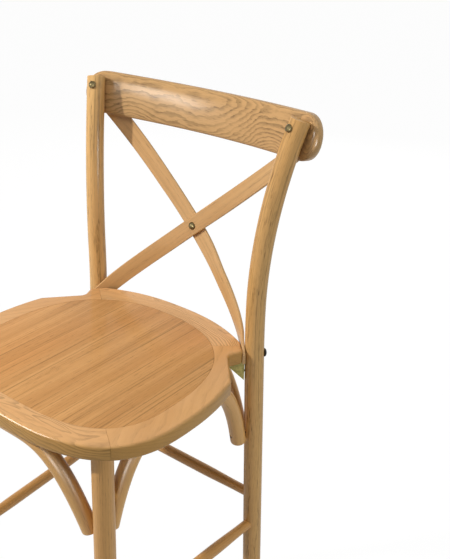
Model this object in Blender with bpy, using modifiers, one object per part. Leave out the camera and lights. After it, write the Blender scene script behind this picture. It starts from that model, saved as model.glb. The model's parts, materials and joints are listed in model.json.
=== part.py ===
"""Cross back bar stool in oak: two bent rear posts carry a bowed crest rail and two crossed slats,
a framed seat sits on four splayed legs, and bentwood arches and stepped stretchers brace them.

Metres, +Z up, floor at z = 0, the sitter faces -Y. Sizes below are measured from the seat's middle line.
"""
import math

import bmesh
import bpy
from mathutils import Matrix, Vector

STOOL = "cross_back_bar_stool"

# Fits
CLEARANCE = 0.0003
POST_SLAT_GAP = 0.0008

# Seat
SEAT_HEIGHT = 0.760
SEAT_THICKNESS = 0.025
SEAT_HALF_WIDTH = 0.2225
SEAT_WIDEST_Y = -0.030
SEAT_FRONT_REACH = 0.177
SEAT_FRONT_FULLNESS = 2.9
SEAT_REAR_Y = 0.209
SEAT_REAR_FULLNESS = 2.4
SEAT_RIM_ROUND = 0.0025
SHOULDER_X = 0.209
SHOULDER_Y = 0.072
SHOULDER_RADIUS = 0.010
NOTCH_X = 0.159
NOTCH_Y = 0.130
NOTCH_RADIUS = 0.012
EAR_WIDTH = 0.029
PANEL_HALF_WIDTH = 0.1845
PANEL_FRONT_REACH = 0.141
PANEL_FRONT_FULLNESS = 2.85
PANEL_REAR_REACH = 0.201
PANEL_REAR_FULLNESS = 2.4
TONGUE_WIDTH = 0.0045
TONGUE_THICKNESS = 0.005
TONGUE_RISE = 0.014
FRONT_MITRE_X = 0.167
FRONT_MITRE_Y = -0.148
FRONT_MITRE_ANGLE = math.radians(-37)
REAR_MITRE_X = 0.144
REAR_MITRE_Y = 0.153
REAR_MITRE_ANGLE = math.radians(39)
MITRE_INWARD_RUN = 0.060
MITRE_OUTWARD_RUN = 0.090
LAP_LENGTH = 0.035
LAP_DEPTH = 0.0075

# Rear posts
POST_RADIUS = 0.0155
POST_FOOT_RADIUS = 0.0135
POST_SEAT_X = 0.1742
POST_SEAT_Y = 0.180
POST_SPLAY = math.radians(1.610)
POST_RAKE = math.radians(0.722)
BACK_HEIGHT = 0.367
POST_TOP_EASE = 0.0015
POST_FLARE = 0.0425
POST_LEAN = 0.0468
POST_LEAN_START = 0.069

# Front legs
LEG_RADIUS = 0.016
LEG_FOOT_RADIUS = 0.0135
LEG_SEAT_X = 0.156
LEG_SEAT_Y = -0.149
LEG_SPLAY = math.radians(1.673)
LEG_RAKE = math.radians(1.793)
LEG_TENON_RADIUS = 0.010
LEG_TENON_LENGTH = 0.0125
TAPER_HEIGHT = 0.300

# Crest rail
CREST_LENGTH = 0.475
CREST_WIDTH = 0.072
CREST_THICKNESS = 0.028
CREST_FULLNESS = 3.0
CREST_END_ROUND = 0.008
CREST_BOW = 0.0511
CREST_TILT = math.radians(12)
CREST_HOUSING = 0.002
CREST_DROP = 0.010
CREST_BOLT_DROP = 0.015

# Crossed slats
SLAT_WIDTH = 0.0293
SLAT_THICKNESS = 0.0048
SLAT_EDGE = 0.0010
SLAT_FOOT_DROP = 0.016
SLAT_FOOT_RISE = math.radians(43)
SLAT_FOOT_GRIP = 0.024
SLAT_TOP_X = 0.1955
SLAT_TOP_SWEEP = math.radians(7.632)
SLAT_TOP_LEAN = math.radians(24)
SLAT_TENON = 0.015
SLAT_LOWER_PULL = 0.072
SLAT_UPPER_PULL = 0.188
SLAT_OVERLAP_REACH = 0.080

# Corner joints, turned this far from the stool's cross axis
CORNER_ANGLE = math.radians(44)
SEAT_BOLT_DROP = 0.0125
SEAT_BOLT_REACH = 0.022
BARREL_DEPTH = 0.016
BARREL_RADIUS = 0.005
BARREL_LENGTH = 0.015
BRACKET_LEG = 0.034
BRACKET_WIDTH = 0.014
BRACKET_SHEET = 0.002
BRACKET_SCREW_LENGTH = 0.009
BRACKET_SEAT_SCREW_SHARE = 0.32
BRACKET_POST_SCREW_SHARE = 0.60

# Bentwood arches
ARCH_RADIUS = 0.0130
ARCH_HEIGHT = 0.149
ARCH_COPE = 0.0006
ARCH_FLAT = 0.0012
FRONT_ARCH_FULLNESS = 3.8
FRONT_ARCH_TOP_Y = -0.180
REAR_ARCH_FULLNESS = 3.8
REAR_ARCH_TOP_Y = 0.189
SIDE_ARCH_FULLNESS = 4.2
SIDE_ARCH_TOP_X = 0.163
SIDE_ARCH_INSET = 0.013
ARCH_SCREW_RISE = 0.014
ARCH_SCREW_SPREAD = 0.028

# Stretchers
STRETCHER_RADIUS = 0.0097
STRETCHER_END_RADIUS = 0.0083
REAR_STRETCHER_HEIGHT = 0.4667
SIDE_STRETCHER_HEIGHT = 0.411
FOOTREST_HEIGHT = 0.310
FOOTREST_RADIUS = 0.0115
FOOTREST_END_RADIUS = 0.0085
STRETCHER_NECK_SHARE = 0.08
STRETCHER_SWELL_SHARE = 0.30
MORTISE_SHORTFALL = 0.001

# Fasteners and glides
BOLT_HEAD_RADIUS = 0.0063
BOLT_HEAD_HEIGHT = 0.0042
BOLT_RADIUS = 0.003
INSERT_RADIUS = 0.005
INSERT_LENGTH = 0.012
CAP_NUT_RADIUS = 0.0055
CAP_NUT_HEIGHT = 0.0075
SEAT_BOLT_HEAD_RADIUS = 0.007
SEAT_BOLT_HEAD_HEIGHT = 0.0038
SCREW_HEAD_RADIUS = 0.0036
SCREW_HEAD_HEIGHT = 0.0025
SCREW_RADIUS = 0.0018
SCREW_SINK = 0.002
SCREW_BITE = 0.012
GLIDE_RADIUS = 0.0105
GLIDE_HEIGHT = 0.004
GLIDE_PIN_RADIUS = 0.002
GLIDE_PIN_LENGTH = 0.014

# Facets
ROD_RESOLUTION = 6
POST_BENDS = 11
ARCH_RESOLUTION = 4
ARCH_STEPS = 16
ARCH_CROWDING = 0.75
TURNED_STEPS = 16
BOLT_STEPS = 12
SCREW_STEPS = 8
DOME_STEPS = 4
SLAT_STEPS = 24
CREST_STEPS = 26
CREST_AROUND = 18
OUTLINE_STEPS = 14
SIDE_STEPS = 4
REAR_STEPS = 8
FILLET_STEPS = 4
WELD = 1e-6
SHARP_ANGLE = math.radians(35)
BEVEL_ANGLE = math.radians(60)
FLAT_ANGLE = math.radians(1)

# Finishes: colour, roughness, metallic
OAK = ((0.62, 0.37, 0.15), 0.42, 0.0)
OAK_PANEL = ((0.58, 0.33, 0.13), 0.40, 0.0)
BRASS = ((0.32, 0.24, 0.13), 0.40, 1.0)
BLACK_STEEL = ((0.04, 0.035, 0.03), 0.45, 1.0)
ZINC = ((0.33, 0.33, 0.12), 0.45, 0.6)
NYLON = ((0.10, 0.08, 0.06), 0.60, 0.0)

SEAT_UNDERSIDE = SEAT_HEIGHT - SEAT_THICKNESS
POST_TOP_HEIGHT = SEAT_HEIGHT + BACK_HEIGHT
CREST_BOLT_HEIGHT = POST_TOP_HEIGHT - CREST_BOLT_DROP
SLAT_FOOT_HEIGHT = SEAT_HEIGHT - SLAT_FOOT_DROP
SLAT_FOOT_REACH = POST_RADIUS + POST_SLAT_GAP + SLAT_THICKNESS / 2
EAR_REACH = POST_RADIUS + POST_SLAT_GAP + SLAT_THICKNESS + CLEARANCE
ARCH_END_HEIGHT = SEAT_UNDERSIDE - ARCH_HEIGHT
SIDES = {"left": -1, "right": 1}
UP = Vector((0, 0, 1))


def start_scene():
    """Empty the scene and make the collections for the parts and for the cutters."""
    for old in list(bpy.data.objects):
        bpy.data.objects.remove(old, do_unlink=True)
    made = []
    for name in (STOOL, "cutters"):
        collection = bpy.data.collections.new(name)
        bpy.context.scene.collection.children.link(collection)
        made.append(collection)
    return made


PARTS, CUTTERS = start_scene()
ROOT = bpy.data.objects.new("stool_root", None)
PARTS.objects.link(ROOT)
HOLES = {}


def finish_material(name, finish):
    colour, roughness, metallic = finish
    made = bpy.data.materials.new(name + "_finish")
    made.use_nodes = True
    shader = made.node_tree.nodes["Principled BSDF"]
    shader.inputs["Base Color"].default_value = (*colour, 1)
    shader.inputs["Roughness"].default_value = roughness
    shader.inputs["Metallic"].default_value = metallic
    made.diffuse_color = (*colour, 1)
    return made


def add_part(name, mesh, finish):
    """Put a mesh in the stool as the sub-part of that name."""
    part = bpy.data.objects.new(name, mesh)
    mesh.name = name
    mesh.materials.clear()
    mesh.materials.append(finish_material(name, finish))
    mesh.shade_smooth()
    mesh.set_sharp_from_angle(angle=SHARP_ANGLE)
    PARTS.objects.link(part)
    part.parent = ROOT
    return part


def add_cutter(name, mesh):
    cutter = bpy.data.objects.new(name, mesh)
    CUTTERS.objects.link(cutter)
    cutter.parent = ROOT
    cutter.hide_render = True
    cutter.display_type = "WIRE"
    return cutter


def boolean(part, cutter, operation="DIFFERENCE"):
    step = part.modifiers.new(cutter.name, "BOOLEAN")
    step.object = cutter
    step.operation = operation
    step.solver = "EXACT"


def baked(temporary):
    """Evaluate an object to a plain welded mesh and remove the object."""
    if temporary.name not in bpy.context.scene.collection.all_objects:
        bpy.context.scene.collection.objects.link(temporary)
    graph = bpy.context.evaluated_depsgraph_get()
    mesh = bpy.data.meshes.new_from_object(temporary.evaluated_get(graph))
    mesh.transform(temporary.matrix_world)
    bpy.data.objects.remove(temporary, do_unlink=True)
    shape = bmesh.new()
    shape.from_mesh(mesh)
    bmesh.ops.remove_doubles(shape, verts=shape.verts, dist=WELD)
    bmesh.ops.recalc_face_normals(shape, faces=shape.faces)
    shape.to_mesh(mesh)
    shape.free()
    return mesh


def placed(mesh, matrix):
    """A copy of a mesh moved by a matrix, faces still outward after a mirror."""
    copy = mesh.copy()
    copy.transform(matrix)
    if matrix.determinant() < 0:
        copy.flip_normals()
    return copy


def grouped(meshes):
    """Several separate cutting solids in one mesh."""
    shape = bmesh.new()
    for mesh in meshes:
        shape.from_mesh(mesh)
    joined = bpy.data.meshes.new("group")
    shape.to_mesh(joined)
    shape.free()
    return joined


def aimed(point, direction):
    """Matrix that stands local +Z along a direction at a point."""
    turn = Vector(direction).to_track_quat("Z", "Y").to_matrix().to_4x4()
    return Matrix.Translation(point) @ turn


def rod(points, radius, radii=None, resolution=ROD_RESOLUTION):
    """Round rod along points, with a radius factor at each where it tapers."""
    data = bpy.data.curves.new("rod", "CURVE")
    data.dimensions = "3D"
    data.bevel_depth = radius
    data.bevel_resolution = resolution
    data.use_fill_caps = True
    spline = data.splines.new("POLY")
    spline.points.add(len(points) - 1)
    for index, point in enumerate(points):
        spline.points[index].co = (*point, 1)
        spline.points[index].radius = radii[index] if radii else 1
    return baked(bpy.data.objects.new("rod", data))


def turned(profile, steps=TURNED_STEPS):
    """Solid of revolution about Z from a (radius, height) profile that runs top to bottom."""
    mesh = bpy.data.meshes.new("profile")
    edges = [(i, i + 1) for i in range(len(profile) - 1)]
    mesh.from_pydata([(r, 0, z) for r, z in profile], edges, [])
    lathe = bpy.data.objects.new("lathe", mesh)
    screw = lathe.modifiers.new("turn", "SCREW")
    screw.axis = "Z"
    screw.steps = steps
    screw.render_steps = steps
    screw.use_merge_vertices = True
    screw.merge_threshold = WELD
    return baked(lathe)


def plug(radius, length, steps=BOLT_STEPS):
    return turned([(0, length), (radius, length), (radius, 0), (0, 0)], steps)


def plate(outline, low, high, bevel=0.0):
    """Flat solid of a closed plan outline between two heights."""
    data = bpy.data.curves.new("plate", "CURVE")
    data.dimensions = "2D"
    data.fill_mode = "BOTH"
    data.extrude = (high - low) / 2
    spline = data.splines.new("POLY")
    spline.points.add(len(outline) - 1)
    for index, (x, y) in enumerate(outline):
        spline.points[index].co = (x, y, 0, 1)
    spline.use_cyclic_u = True
    mesh = baked(bpy.data.objects.new("plate", data))
    shape = bmesh.new()
    shape.from_mesh(mesh)
    bmesh.ops.dissolve_limit(shape, angle_limit=FLAT_ANGLE, verts=shape.verts, edges=shape.edges)
    shape.to_mesh(mesh)
    shape.free()
    mesh.transform(Matrix.Translation((0, 0, (low + high) / 2)))
    if bevel:
        board = bpy.data.objects.new("board", mesh)
        ease = board.modifiers.new("rim", "BEVEL")
        ease.width = bevel
        ease.segments = 2
        ease.limit_method = "ANGLE"
        ease.angle_limit = BEVEL_ANGLE
        mesh = baked(board)
    return mesh


def drill(name, mesh, matrix):
    """Note a hole that the named part gets once it is made."""
    HOLES.setdefault(name, []).append(placed(mesh, matrix))


def drill_parts():
    for name, meshes in HOLES.items():
        boolean(bpy.data.objects[name], add_cutter(name + "_holes", grouped(meshes)))


def post_axis(side, height):
    """Centre of a rear post at a height: straight and splayed below the seat, flared and leant above."""
    rise = height - SEAT_HEIGHT
    above = max(0.0, rise)
    flare = POST_FLARE * (above / BACK_HEIGHT) ** 2
    lean_run = max(0.0, rise - POST_LEAN_START) / (BACK_HEIGHT - POST_LEAN_START)
    x = POST_SEAT_X - math.tan(POST_SPLAY) * rise + flare
    y = POST_SEAT_Y - math.tan(POST_RAKE) * rise + POST_LEAN * lean_run ** 2
    return Vector((side * x, y, height))


def leg_axis(side, height):
    drop = SEAT_HEIGHT - height
    x = LEG_SEAT_X + math.tan(LEG_SPLAY) * drop
    return Vector((side * x, LEG_SEAT_Y - math.tan(LEG_RAKE) * drop, height))


def corner_axes(side):
    """Outward and along directions of the slanted corner joint between a seat ear and its post."""
    outward = Vector((side * math.cos(CORNER_ANGLE), math.sin(CORNER_ANGLE), 0))
    along = Vector((-side * math.sin(CORNER_ANGLE), math.cos(CORNER_ANGLE), 0))
    return outward, along


def corner_frame(side):
    """Matrix of the corner joint: local X outward, Y along the ear's face, Z up, origin on the post."""
    outward, along = corner_axes(side)
    frame = Matrix((outward, along, UP)).transposed().to_4x4()
    return Matrix.Translation(post_axis(side, SEAT_HEIGHT - SEAT_BOLT_DROP)) @ frame


def lower_radius(radius, foot_radius, height):
    """Radius of a leg that tapers to its foot."""
    return foot_radius + (radius - foot_radius) * min(1.0, height / TAPER_HEIGHT)


def floor_block():
    reach = SEAT_HALF_WIDTH + POST_TOP_HEIGHT
    square = [(-reach, -reach), (reach, -reach), (reach, reach), (-reach, reach)]
    return plate(square, -POST_TOP_HEIGHT, GLIDE_HEIGHT + CLEARANCE)


def post_rod(side, grow):
    """Rear post as one bent rod, from below the floor so that its foot can be cut level."""
    heights = [-GLIDE_HEIGHT, TAPER_HEIGHT / 2, TAPER_HEIGHT, SEAT_HEIGHT]
    heights += [SEAT_HEIGHT + BACK_HEIGHT * step / POST_BENDS for step in range(1, POST_BENDS)]
    heights += [POST_TOP_HEIGHT - POST_TOP_EASE, POST_TOP_HEIGHT]
    points = [post_axis(side, height) for height in heights]
    radius = POST_RADIUS + grow
    radii = [(lower_radius(POST_RADIUS, POST_FOOT_RADIUS, h) + grow) / radius for h in heights]
    radii[-1] -= POST_TOP_EASE / radius
    return rod(points, radius, radii)


def leg_mesh(side, grow):
    """Front leg turned upright, with its tenon, then leant so that its shoulder stays level."""
    shoulder = SEAT_UNDERSIDE - CLEARANCE
    tenon = LEG_TENON_RADIUS + grow
    top = SEAT_UNDERSIDE + LEG_TENON_LENGTH + grow
    profile = [(0, top), (tenon, top), (tenon, shoulder)]
    profile += [(LEG_RADIUS + grow, shoulder), (LEG_RADIUS + grow, TAPER_HEIGHT)]
    profile += [(LEG_FOOT_RADIUS + grow, 0), (0, 0)]
    mesh = turned(profile)
    foot = leg_axis(side, 0)
    lean = Matrix.Identity(4)
    lean[0][2] = -side * math.tan(LEG_SPLAY)
    lean[1][2] = math.tan(LEG_RAKE)
    mesh.transform(Matrix.Translation(foot) @ lean)
    return mesh


def make_posts_and_legs():
    floor = add_cutter("floor_level", floor_block())
    for name, side in SIDES.items():
        post = add_part("rear_post_" + name, post_rod(side, 0), OAK)
        boolean(post, floor)
        leg = add_part("front_leg_" + name, leg_mesh(side, 0), OAK)
        boolean(leg, floor)
        for label, foot in (("rear_" + name, post_axis(side, 0)), ("front_" + name, leg_axis(side, 0))):
            make_glide(label, foot)


def make_glide(label, foot):
    """Nail-on glide under a leg."""
    top = GLIDE_HEIGHT + GLIDE_PIN_LENGTH
    ease = GLIDE_HEIGHT / 4
    profile = [(0, top), (GLIDE_PIN_RADIUS, top), (GLIDE_PIN_RADIUS, GLIDE_HEIGHT)]
    profile += [(GLIDE_RADIUS, GLIDE_HEIGHT), (GLIDE_RADIUS, ease), (GLIDE_RADIUS - ease, 0), (0, 0)]
    add_part("foot_glide_" + label, placed(turned(profile, BOLT_STEPS), Matrix.Translation(foot)), NYLON)
    owner = ("rear_post_" if label.startswith("rear") else "front_leg_") + label.split("_")[1]
    hole = plug(GLIDE_PIN_RADIUS + CLEARANCE, top + CLEARANCE, SCREW_STEPS)
    drill(owner, hole, Matrix.Translation(foot))


def super_arc(half_width, reach, fullness, turn):
    """Point of a full-cornered quarter oval, turn 0 at its side and 1 at its end."""
    angle = turn * math.pi / 2
    power = 2 / fullness
    return half_width * math.cos(angle) ** power, reach * math.sin(angle) ** power


def filleted(before, corner, after, radius):
    """Arc that rounds the corner of a plan outline."""
    corner = Vector(corner)
    inward = (Vector(before) - corner).normalized()
    outward = (Vector(after) - corner).normalized()
    half = inward.angle(outward) / 2
    centre = corner + (inward + outward).normalized() * radius / math.sin(half)
    first = corner + inward * radius / math.tan(half) - centre
    last = corner + outward * radius / math.tan(half) - centre
    turns = [step / FILLET_STEPS for step in range(FILLET_STEPS + 1)]
    return [tuple(centre + first.slerp(last, turn) * radius) for turn in turns]


def mirrored(half):
    """Closed outline from its right half, which starts and ends on the middle line."""
    return half + [(-x, y) for x, y in reversed(half[1:-1])]


def seat_outline():
    """Plan of the seat: full round front, shoulders, notches for the posts, slanted ears, bowed rear."""
    half = []
    for step in range(OUTLINE_STEPS + 1):
        x, y = super_arc(SEAT_HALF_WIDTH, SEAT_FRONT_REACH, SEAT_FRONT_FULLNESS, 1 - step / OUTLINE_STEPS)
        half.append((x if step else 0.0, SEAT_WIDEST_Y - y))
    shoulder = (SHOULDER_X, SHOULDER_Y)
    notch = (NOTCH_X, NOTCH_Y)
    outward, along = corner_axes(1)
    ear = post_axis(1, SEAT_HEIGHT - SEAT_BOLT_DROP) - outward * EAR_REACH
    ear_front = (ear - along * EAR_WIDTH / 2).xy
    ear_rear = (ear + along * EAR_WIDTH / 2).xy
    for step in range(1, SIDE_STEPS):
        share = step / SIDE_STEPS
        x = SEAT_HALF_WIDTH + (SHOULDER_X - SEAT_HALF_WIDTH) * share ** 2
        half.append((x, SEAT_WIDEST_Y + (SHOULDER_Y - SEAT_WIDEST_Y) * share))
    half += filleted(half[-1], shoulder, notch, SHOULDER_RADIUS)
    half += filleted(shoulder, notch, ear_front, NOTCH_RADIUS)
    half.append(tuple(ear_front))
    for step in range(REAR_STEPS + 1):
        share = 1 - step / REAR_STEPS
        y = SEAT_REAR_Y - (SEAT_REAR_Y - ear_rear.y) * share ** SEAT_REAR_FULLNESS
        half.append((ear_rear.x * share, y))
    return mirrored(half)


def panel_outline(grow=0.0):
    """Plan of the seat panel, fuller in front than behind."""
    width = PANEL_HALF_WIDTH + grow
    half = []
    for step in range(OUTLINE_STEPS + 1):
        turn = 1 - step / OUTLINE_STEPS
        x, y = super_arc(width, PANEL_FRONT_REACH + grow, PANEL_FRONT_FULLNESS, turn)
        half.append((x if step else 0.0, SEAT_WIDEST_Y - y))
    for step in range(1, OUTLINE_STEPS + 1):
        turn = step / OUTLINE_STEPS
        x, y = super_arc(width, PANEL_REAR_REACH + grow, PANEL_REAR_FULLNESS, turn)
        half.append((x if step < OUTLINE_STEPS else 0.0, SEAT_WIDEST_Y + y))
    return mirrored(half)


def rail_region(front, grow):
    """Stepped block that a front or rear rail fills: mitred in its top layer, lapped back below."""
    x, y = (FRONT_MITRE_X, FRONT_MITRE_Y) if front else (REAR_MITRE_X, REAR_MITRE_Y)
    angle = FRONT_MITRE_ANGLE if front else REAR_MITRE_ANGLE
    line = Vector((math.cos(angle), math.sin(angle)))
    normal = Vector((line.y, -line.x)) if front else Vector((-line.y, line.x))
    far = -2 * SEAT_HALF_WIDTH if front else 2 * SEAT_HALF_WIDTH
    lap_level = SEAT_HEIGHT - LAP_DEPTH - grow
    below, above = SEAT_UNDERSIDE - SEAT_THICKNESS, SEAT_HEIGHT + SEAT_THICKNESS
    blocks = []
    for shift, low in ((0, lap_level), (LAP_LENGTH, below)):
        middle = Vector((x - shift, y)) - normal * grow
        start = middle - line * MITRE_INWARD_RUN
        end = middle + line * MITRE_OUTWARD_RUN
        half = [start, end, Vector((end.x, far))]
        outline = [tuple(point) for point in half]
        outline += [(-px, py) for px, py in reversed(outline)]
        blocks.append(plate(outline, low, above))
    return blocks


def make_seat():
    """Panel tongued into a ring of four rails, half lapped under mitres at the corners."""
    tongue_low = SEAT_UNDERSIDE + TONGUE_RISE
    tongue_high = tongue_low + TONGUE_THICKNESS
    panel = add_part("seat_panel", plate(panel_outline(), SEAT_UNDERSIDE, SEAT_HEIGHT), OAK_PANEL)
    tongue = add_cutter("panel_tongue", plate(panel_outline(TONGUE_WIDTH), tongue_low, tongue_high))
    boolean(panel, tongue, "UNION")
    through = SEAT_UNDERSIDE - SEAT_THICKNESS, SEAT_HEIGHT + SEAT_THICKNESS
    opening = add_cutter("panel_opening", plate(panel_outline(CLEARANCE), *through))
    groove_outline = panel_outline(TONGUE_WIDTH + CLEARANCE)
    groove_levels = tongue_low - CLEARANCE, tongue_high + CLEARANCE
    groove = add_cutter("panel_groove", plate(groove_outline, *groove_levels))
    ring = plate(seat_outline(), SEAT_UNDERSIDE, SEAT_HEIGHT, SEAT_RIM_ROUND)
    half_gap = CLEARANCE / 2
    middle_cuts = {side: plate(half_plane(side), *through) for side in SIDES.values()}
    for name, front in (("seat_front_rail", True), ("seat_rear_rail", False)):
        rail = add_part(name, ring.copy(), OAK)
        region = add_cutter(name + "_region", rail_region(front, -half_gap)[0])
        boolean(region, add_cutter(name + "_lap", rail_region(front, -half_gap)[1]), "UNION")
        boolean(rail, region, "INTERSECT")
        boolean(rail, opening)
        boolean(rail, groove)
    for name, side in SIDES.items():
        rail = add_part("seat_side_rail_" + name, ring.copy(), OAK)
        boolean(rail, add_cutter("middle_cut_" + name, middle_cuts[side]))
        for front in (True, False):
            for layer, block in zip(("mitre", "lap"), rail_region(front, half_gap)):
                end = "front" if front else "rear"
                boolean(rail, add_cutter("{}_{}_{}".format(end, layer, name), block))
        boolean(rail, opening)
        boolean(rail, groove)


def half_plane(side):
    """Plan of everything on the far side of the stool's middle line."""
    reach = 2 * SEAT_HALF_WIDTH
    near = side * PANEL_HALF_WIDTH / 4
    return [(near, -reach), (near, reach), (-side * reach, reach), (-side * reach, -reach)]


def crest_axes():
    """Up and rearward directions of the crest, which leans back."""
    up = Vector((0, math.sin(CREST_TILT), math.cos(CREST_TILT)))
    return up, Vector((0, math.cos(CREST_TILT), -math.sin(CREST_TILT)))


def crest_normal(side):
    """Rearward direction square to the bowed crest where it meets a post."""
    slope = 2 * CREST_BOW * post_axis(1, CREST_BOLT_HEIGHT).x / (CREST_LENGTH / 2) ** 2
    return (crest_axes()[1] + Vector((side * slope, 0, 0))).normalized()


def crest_bolt_axis(side):
    """The same direction made square to the post, for the bolt through it."""
    run = (post_axis(side, POST_TOP_HEIGHT) - post_axis(side, CREST_BOLT_HEIGHT)).normalized()
    normal = crest_normal(side)
    return (normal - run * normal.dot(run)).normalized()


def crest_point(x, rise, depth):
    """Point of the crest from its length, its height above the middle and its depth behind the middle."""
    up, rearward = crest_axes()
    post = post_axis(1, CREST_BOLT_HEIGHT)
    half = CREST_LENGTH / 2
    bow = CREST_BOW * ((post.x / half) ** 2 - (x / half) ** 2)
    seat = (POST_RADIUS + CREST_THICKNESS / 2 - CREST_HOUSING) / rearward.dot(crest_normal(1))
    return Vector((x, post.y, post.z)) + up * (rise - CREST_DROP) + rearward * (seat + bow + depth)


def signed_power(value, power):
    return math.copysign(abs(value) ** power, value)


def crest_mesh():
    """Bowed board with full rounded edges and half-round ends, lofted along its length."""
    shape = bmesh.new()
    bmesh.ops.create_grid(shape, x_segments=CREST_AROUND, y_segments=CREST_STEPS, size=1)
    half = CREST_LENGTH / 2
    radius = CREST_WIDTH / 2
    power = 2 / CREST_FULLNESS
    for vertex in shape.verts:
        around = (vertex.co.x + 1) * math.pi
        x = half * math.sin(vertex.co.y * math.pi / 2)
        past_round = max(0.0, abs(x) - (half - radius))
        past_edge = min(1.0, max(0.0, abs(x) - (half - CREST_END_ROUND)) / CREST_END_ROUND)
        rise = math.sqrt(max(0.0, radius ** 2 - past_round ** 2)) * signed_power(math.sin(around), power)
        thick = CREST_THICKNESS / 2 * math.sqrt(1 - past_edge ** 2)
        vertex.co = crest_point(x, rise, thick * signed_power(math.cos(around), power))
    bmesh.ops.remove_doubles(shape, verts=shape.verts, dist=1e-5)
    bmesh.ops.recalc_face_normals(shape, faces=shape.faces)
    mesh = bpy.data.meshes.new("crest")
    shape.to_mesh(mesh)
    shape.free()
    return mesh


def bolt_profile(head_radius, head_height, radius, length):
    """Domed bolt, its head on z = 0 and its shank below."""
    turns = [math.pi / 2 * step / DOME_STEPS for step in range(DOME_STEPS + 1)]
    profile = [(head_radius * math.sin(turn), head_height * math.cos(turn)) for turn in turns]
    return profile + [(radius, 0), (radius, -length), (0, -length)]


def make_crest():
    """Crest rail housed over the rear of both posts and bolted through them into brass inserts."""
    add_part("crest_rail", crest_mesh(), OAK)
    for name, side in SIDES.items():
        rearward = crest_bolt_axis(side)
        boolean(bpy.data.objects["crest_rail"], bpy.data.objects["post_space_" + name])
        centre = post_axis(side, CREST_BOLT_HEIGHT)
        seat = POST_RADIUS + 2 * CLEARANCE
        reach = 2 * POST_RADIUS + INSERT_LENGTH
        bolt = turned(bolt_profile(BOLT_HEAD_RADIUS, BOLT_HEAD_HEIGHT, BOLT_RADIUS, reach), BOLT_STEPS)
        front = aimed(centre - rearward * (POST_RADIUS + CLEARANCE), -rearward)
        add_part("crest_bolt_" + name, placed(bolt, front), BRASS)
        bore = BOLT_RADIUS + CLEARANCE
        sleeve = [(bore, INSERT_LENGTH), (INSERT_RADIUS, INSERT_LENGTH), (INSERT_RADIUS, 0), (bore, 0)]
        insert = turned(sleeve + sleeve[:1], BOLT_STEPS)
        add_part("crest_insert_" + name, placed(insert, aimed(centre + rearward * seat, rearward)), BRASS)
        pocket = plug(INSERT_RADIUS + CLEARANCE, CREST_HOUSING + INSERT_LENGTH + 2 * CLEARANCE)
        drill("crest_rail", pocket, aimed(centre + rearward * (seat - CREST_HOUSING), rearward))
        through = plug(bore, 3 * POST_RADIUS)
        drill("rear_post_" + name, through, aimed(centre - rearward * 1.5 * POST_RADIUS, rearward))


def slat_route(side):
    """Middle line of a slat whose foot is on this side: a straight foot, then one bent sweep."""
    outward, along = corner_axes(side)
    rise = along * math.cos(SLAT_FOOT_RISE) + UP * math.sin(SLAT_FOOT_RISE)
    foot = post_axis(side, SEAT_HEIGHT - SEAT_BOLT_DROP) - outward * SLAT_FOOT_REACH
    foot.z = SLAT_FOOT_HEIGHT
    start = foot + rise * SLAT_FOOT_GRIP
    top = crest_point(-side * SLAT_TOP_X, SLAT_TENON - CREST_WIDTH / 2, 0)
    run = top - start
    run.y = -math.tan(SLAT_TOP_SWEEP) * run.xz.length
    pulls = (start, start + rise * SLAT_LOWER_PULL, top - run.normalized() * SLAT_UPPER_PULL, top)
    points = [foot - rise * SLAT_WIDTH * tail for tail in (2, 1)] + [foot]
    for step in range(SLAT_STEPS + 1):
        share = step / SLAT_STEPS
        rest = 1 - share
        weights = (rest ** 3, 3 * rest ** 2 * share, 3 * rest * share ** 2, share ** 3)
        points.append(sum((pull * weight for pull, weight in zip(pulls, weights)), Vector()))
    return points


def slat_crossing():
    """Where the slats cross on the stool's middle line, and the rearward direction square to both there."""
    points = slat_route(1)
    for before, after in zip(points, points[1:]):
        if before.x * after.x <= 0:
            centre = before.lerp(after, before.x / (before.x - after.x))
            lean = slat_lean(centre.z)
            return centre, Vector((0, math.cos(lean), -math.sin(lean)))
    raise ValueError("slats do not reach the middle line")


def slat_lean(height):
    """How far a slat leans back at a height: upright beside the seat, most at the crest."""
    low = SEAT_HEIGHT + SLAT_WIDTH / 2
    top = crest_point(SLAT_TOP_X, SLAT_TENON - CREST_WIDTH / 2, 0).z
    return SLAT_TOP_LEAN * min(1.0, max(0.0, (height - low) / (top - low)))


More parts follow.
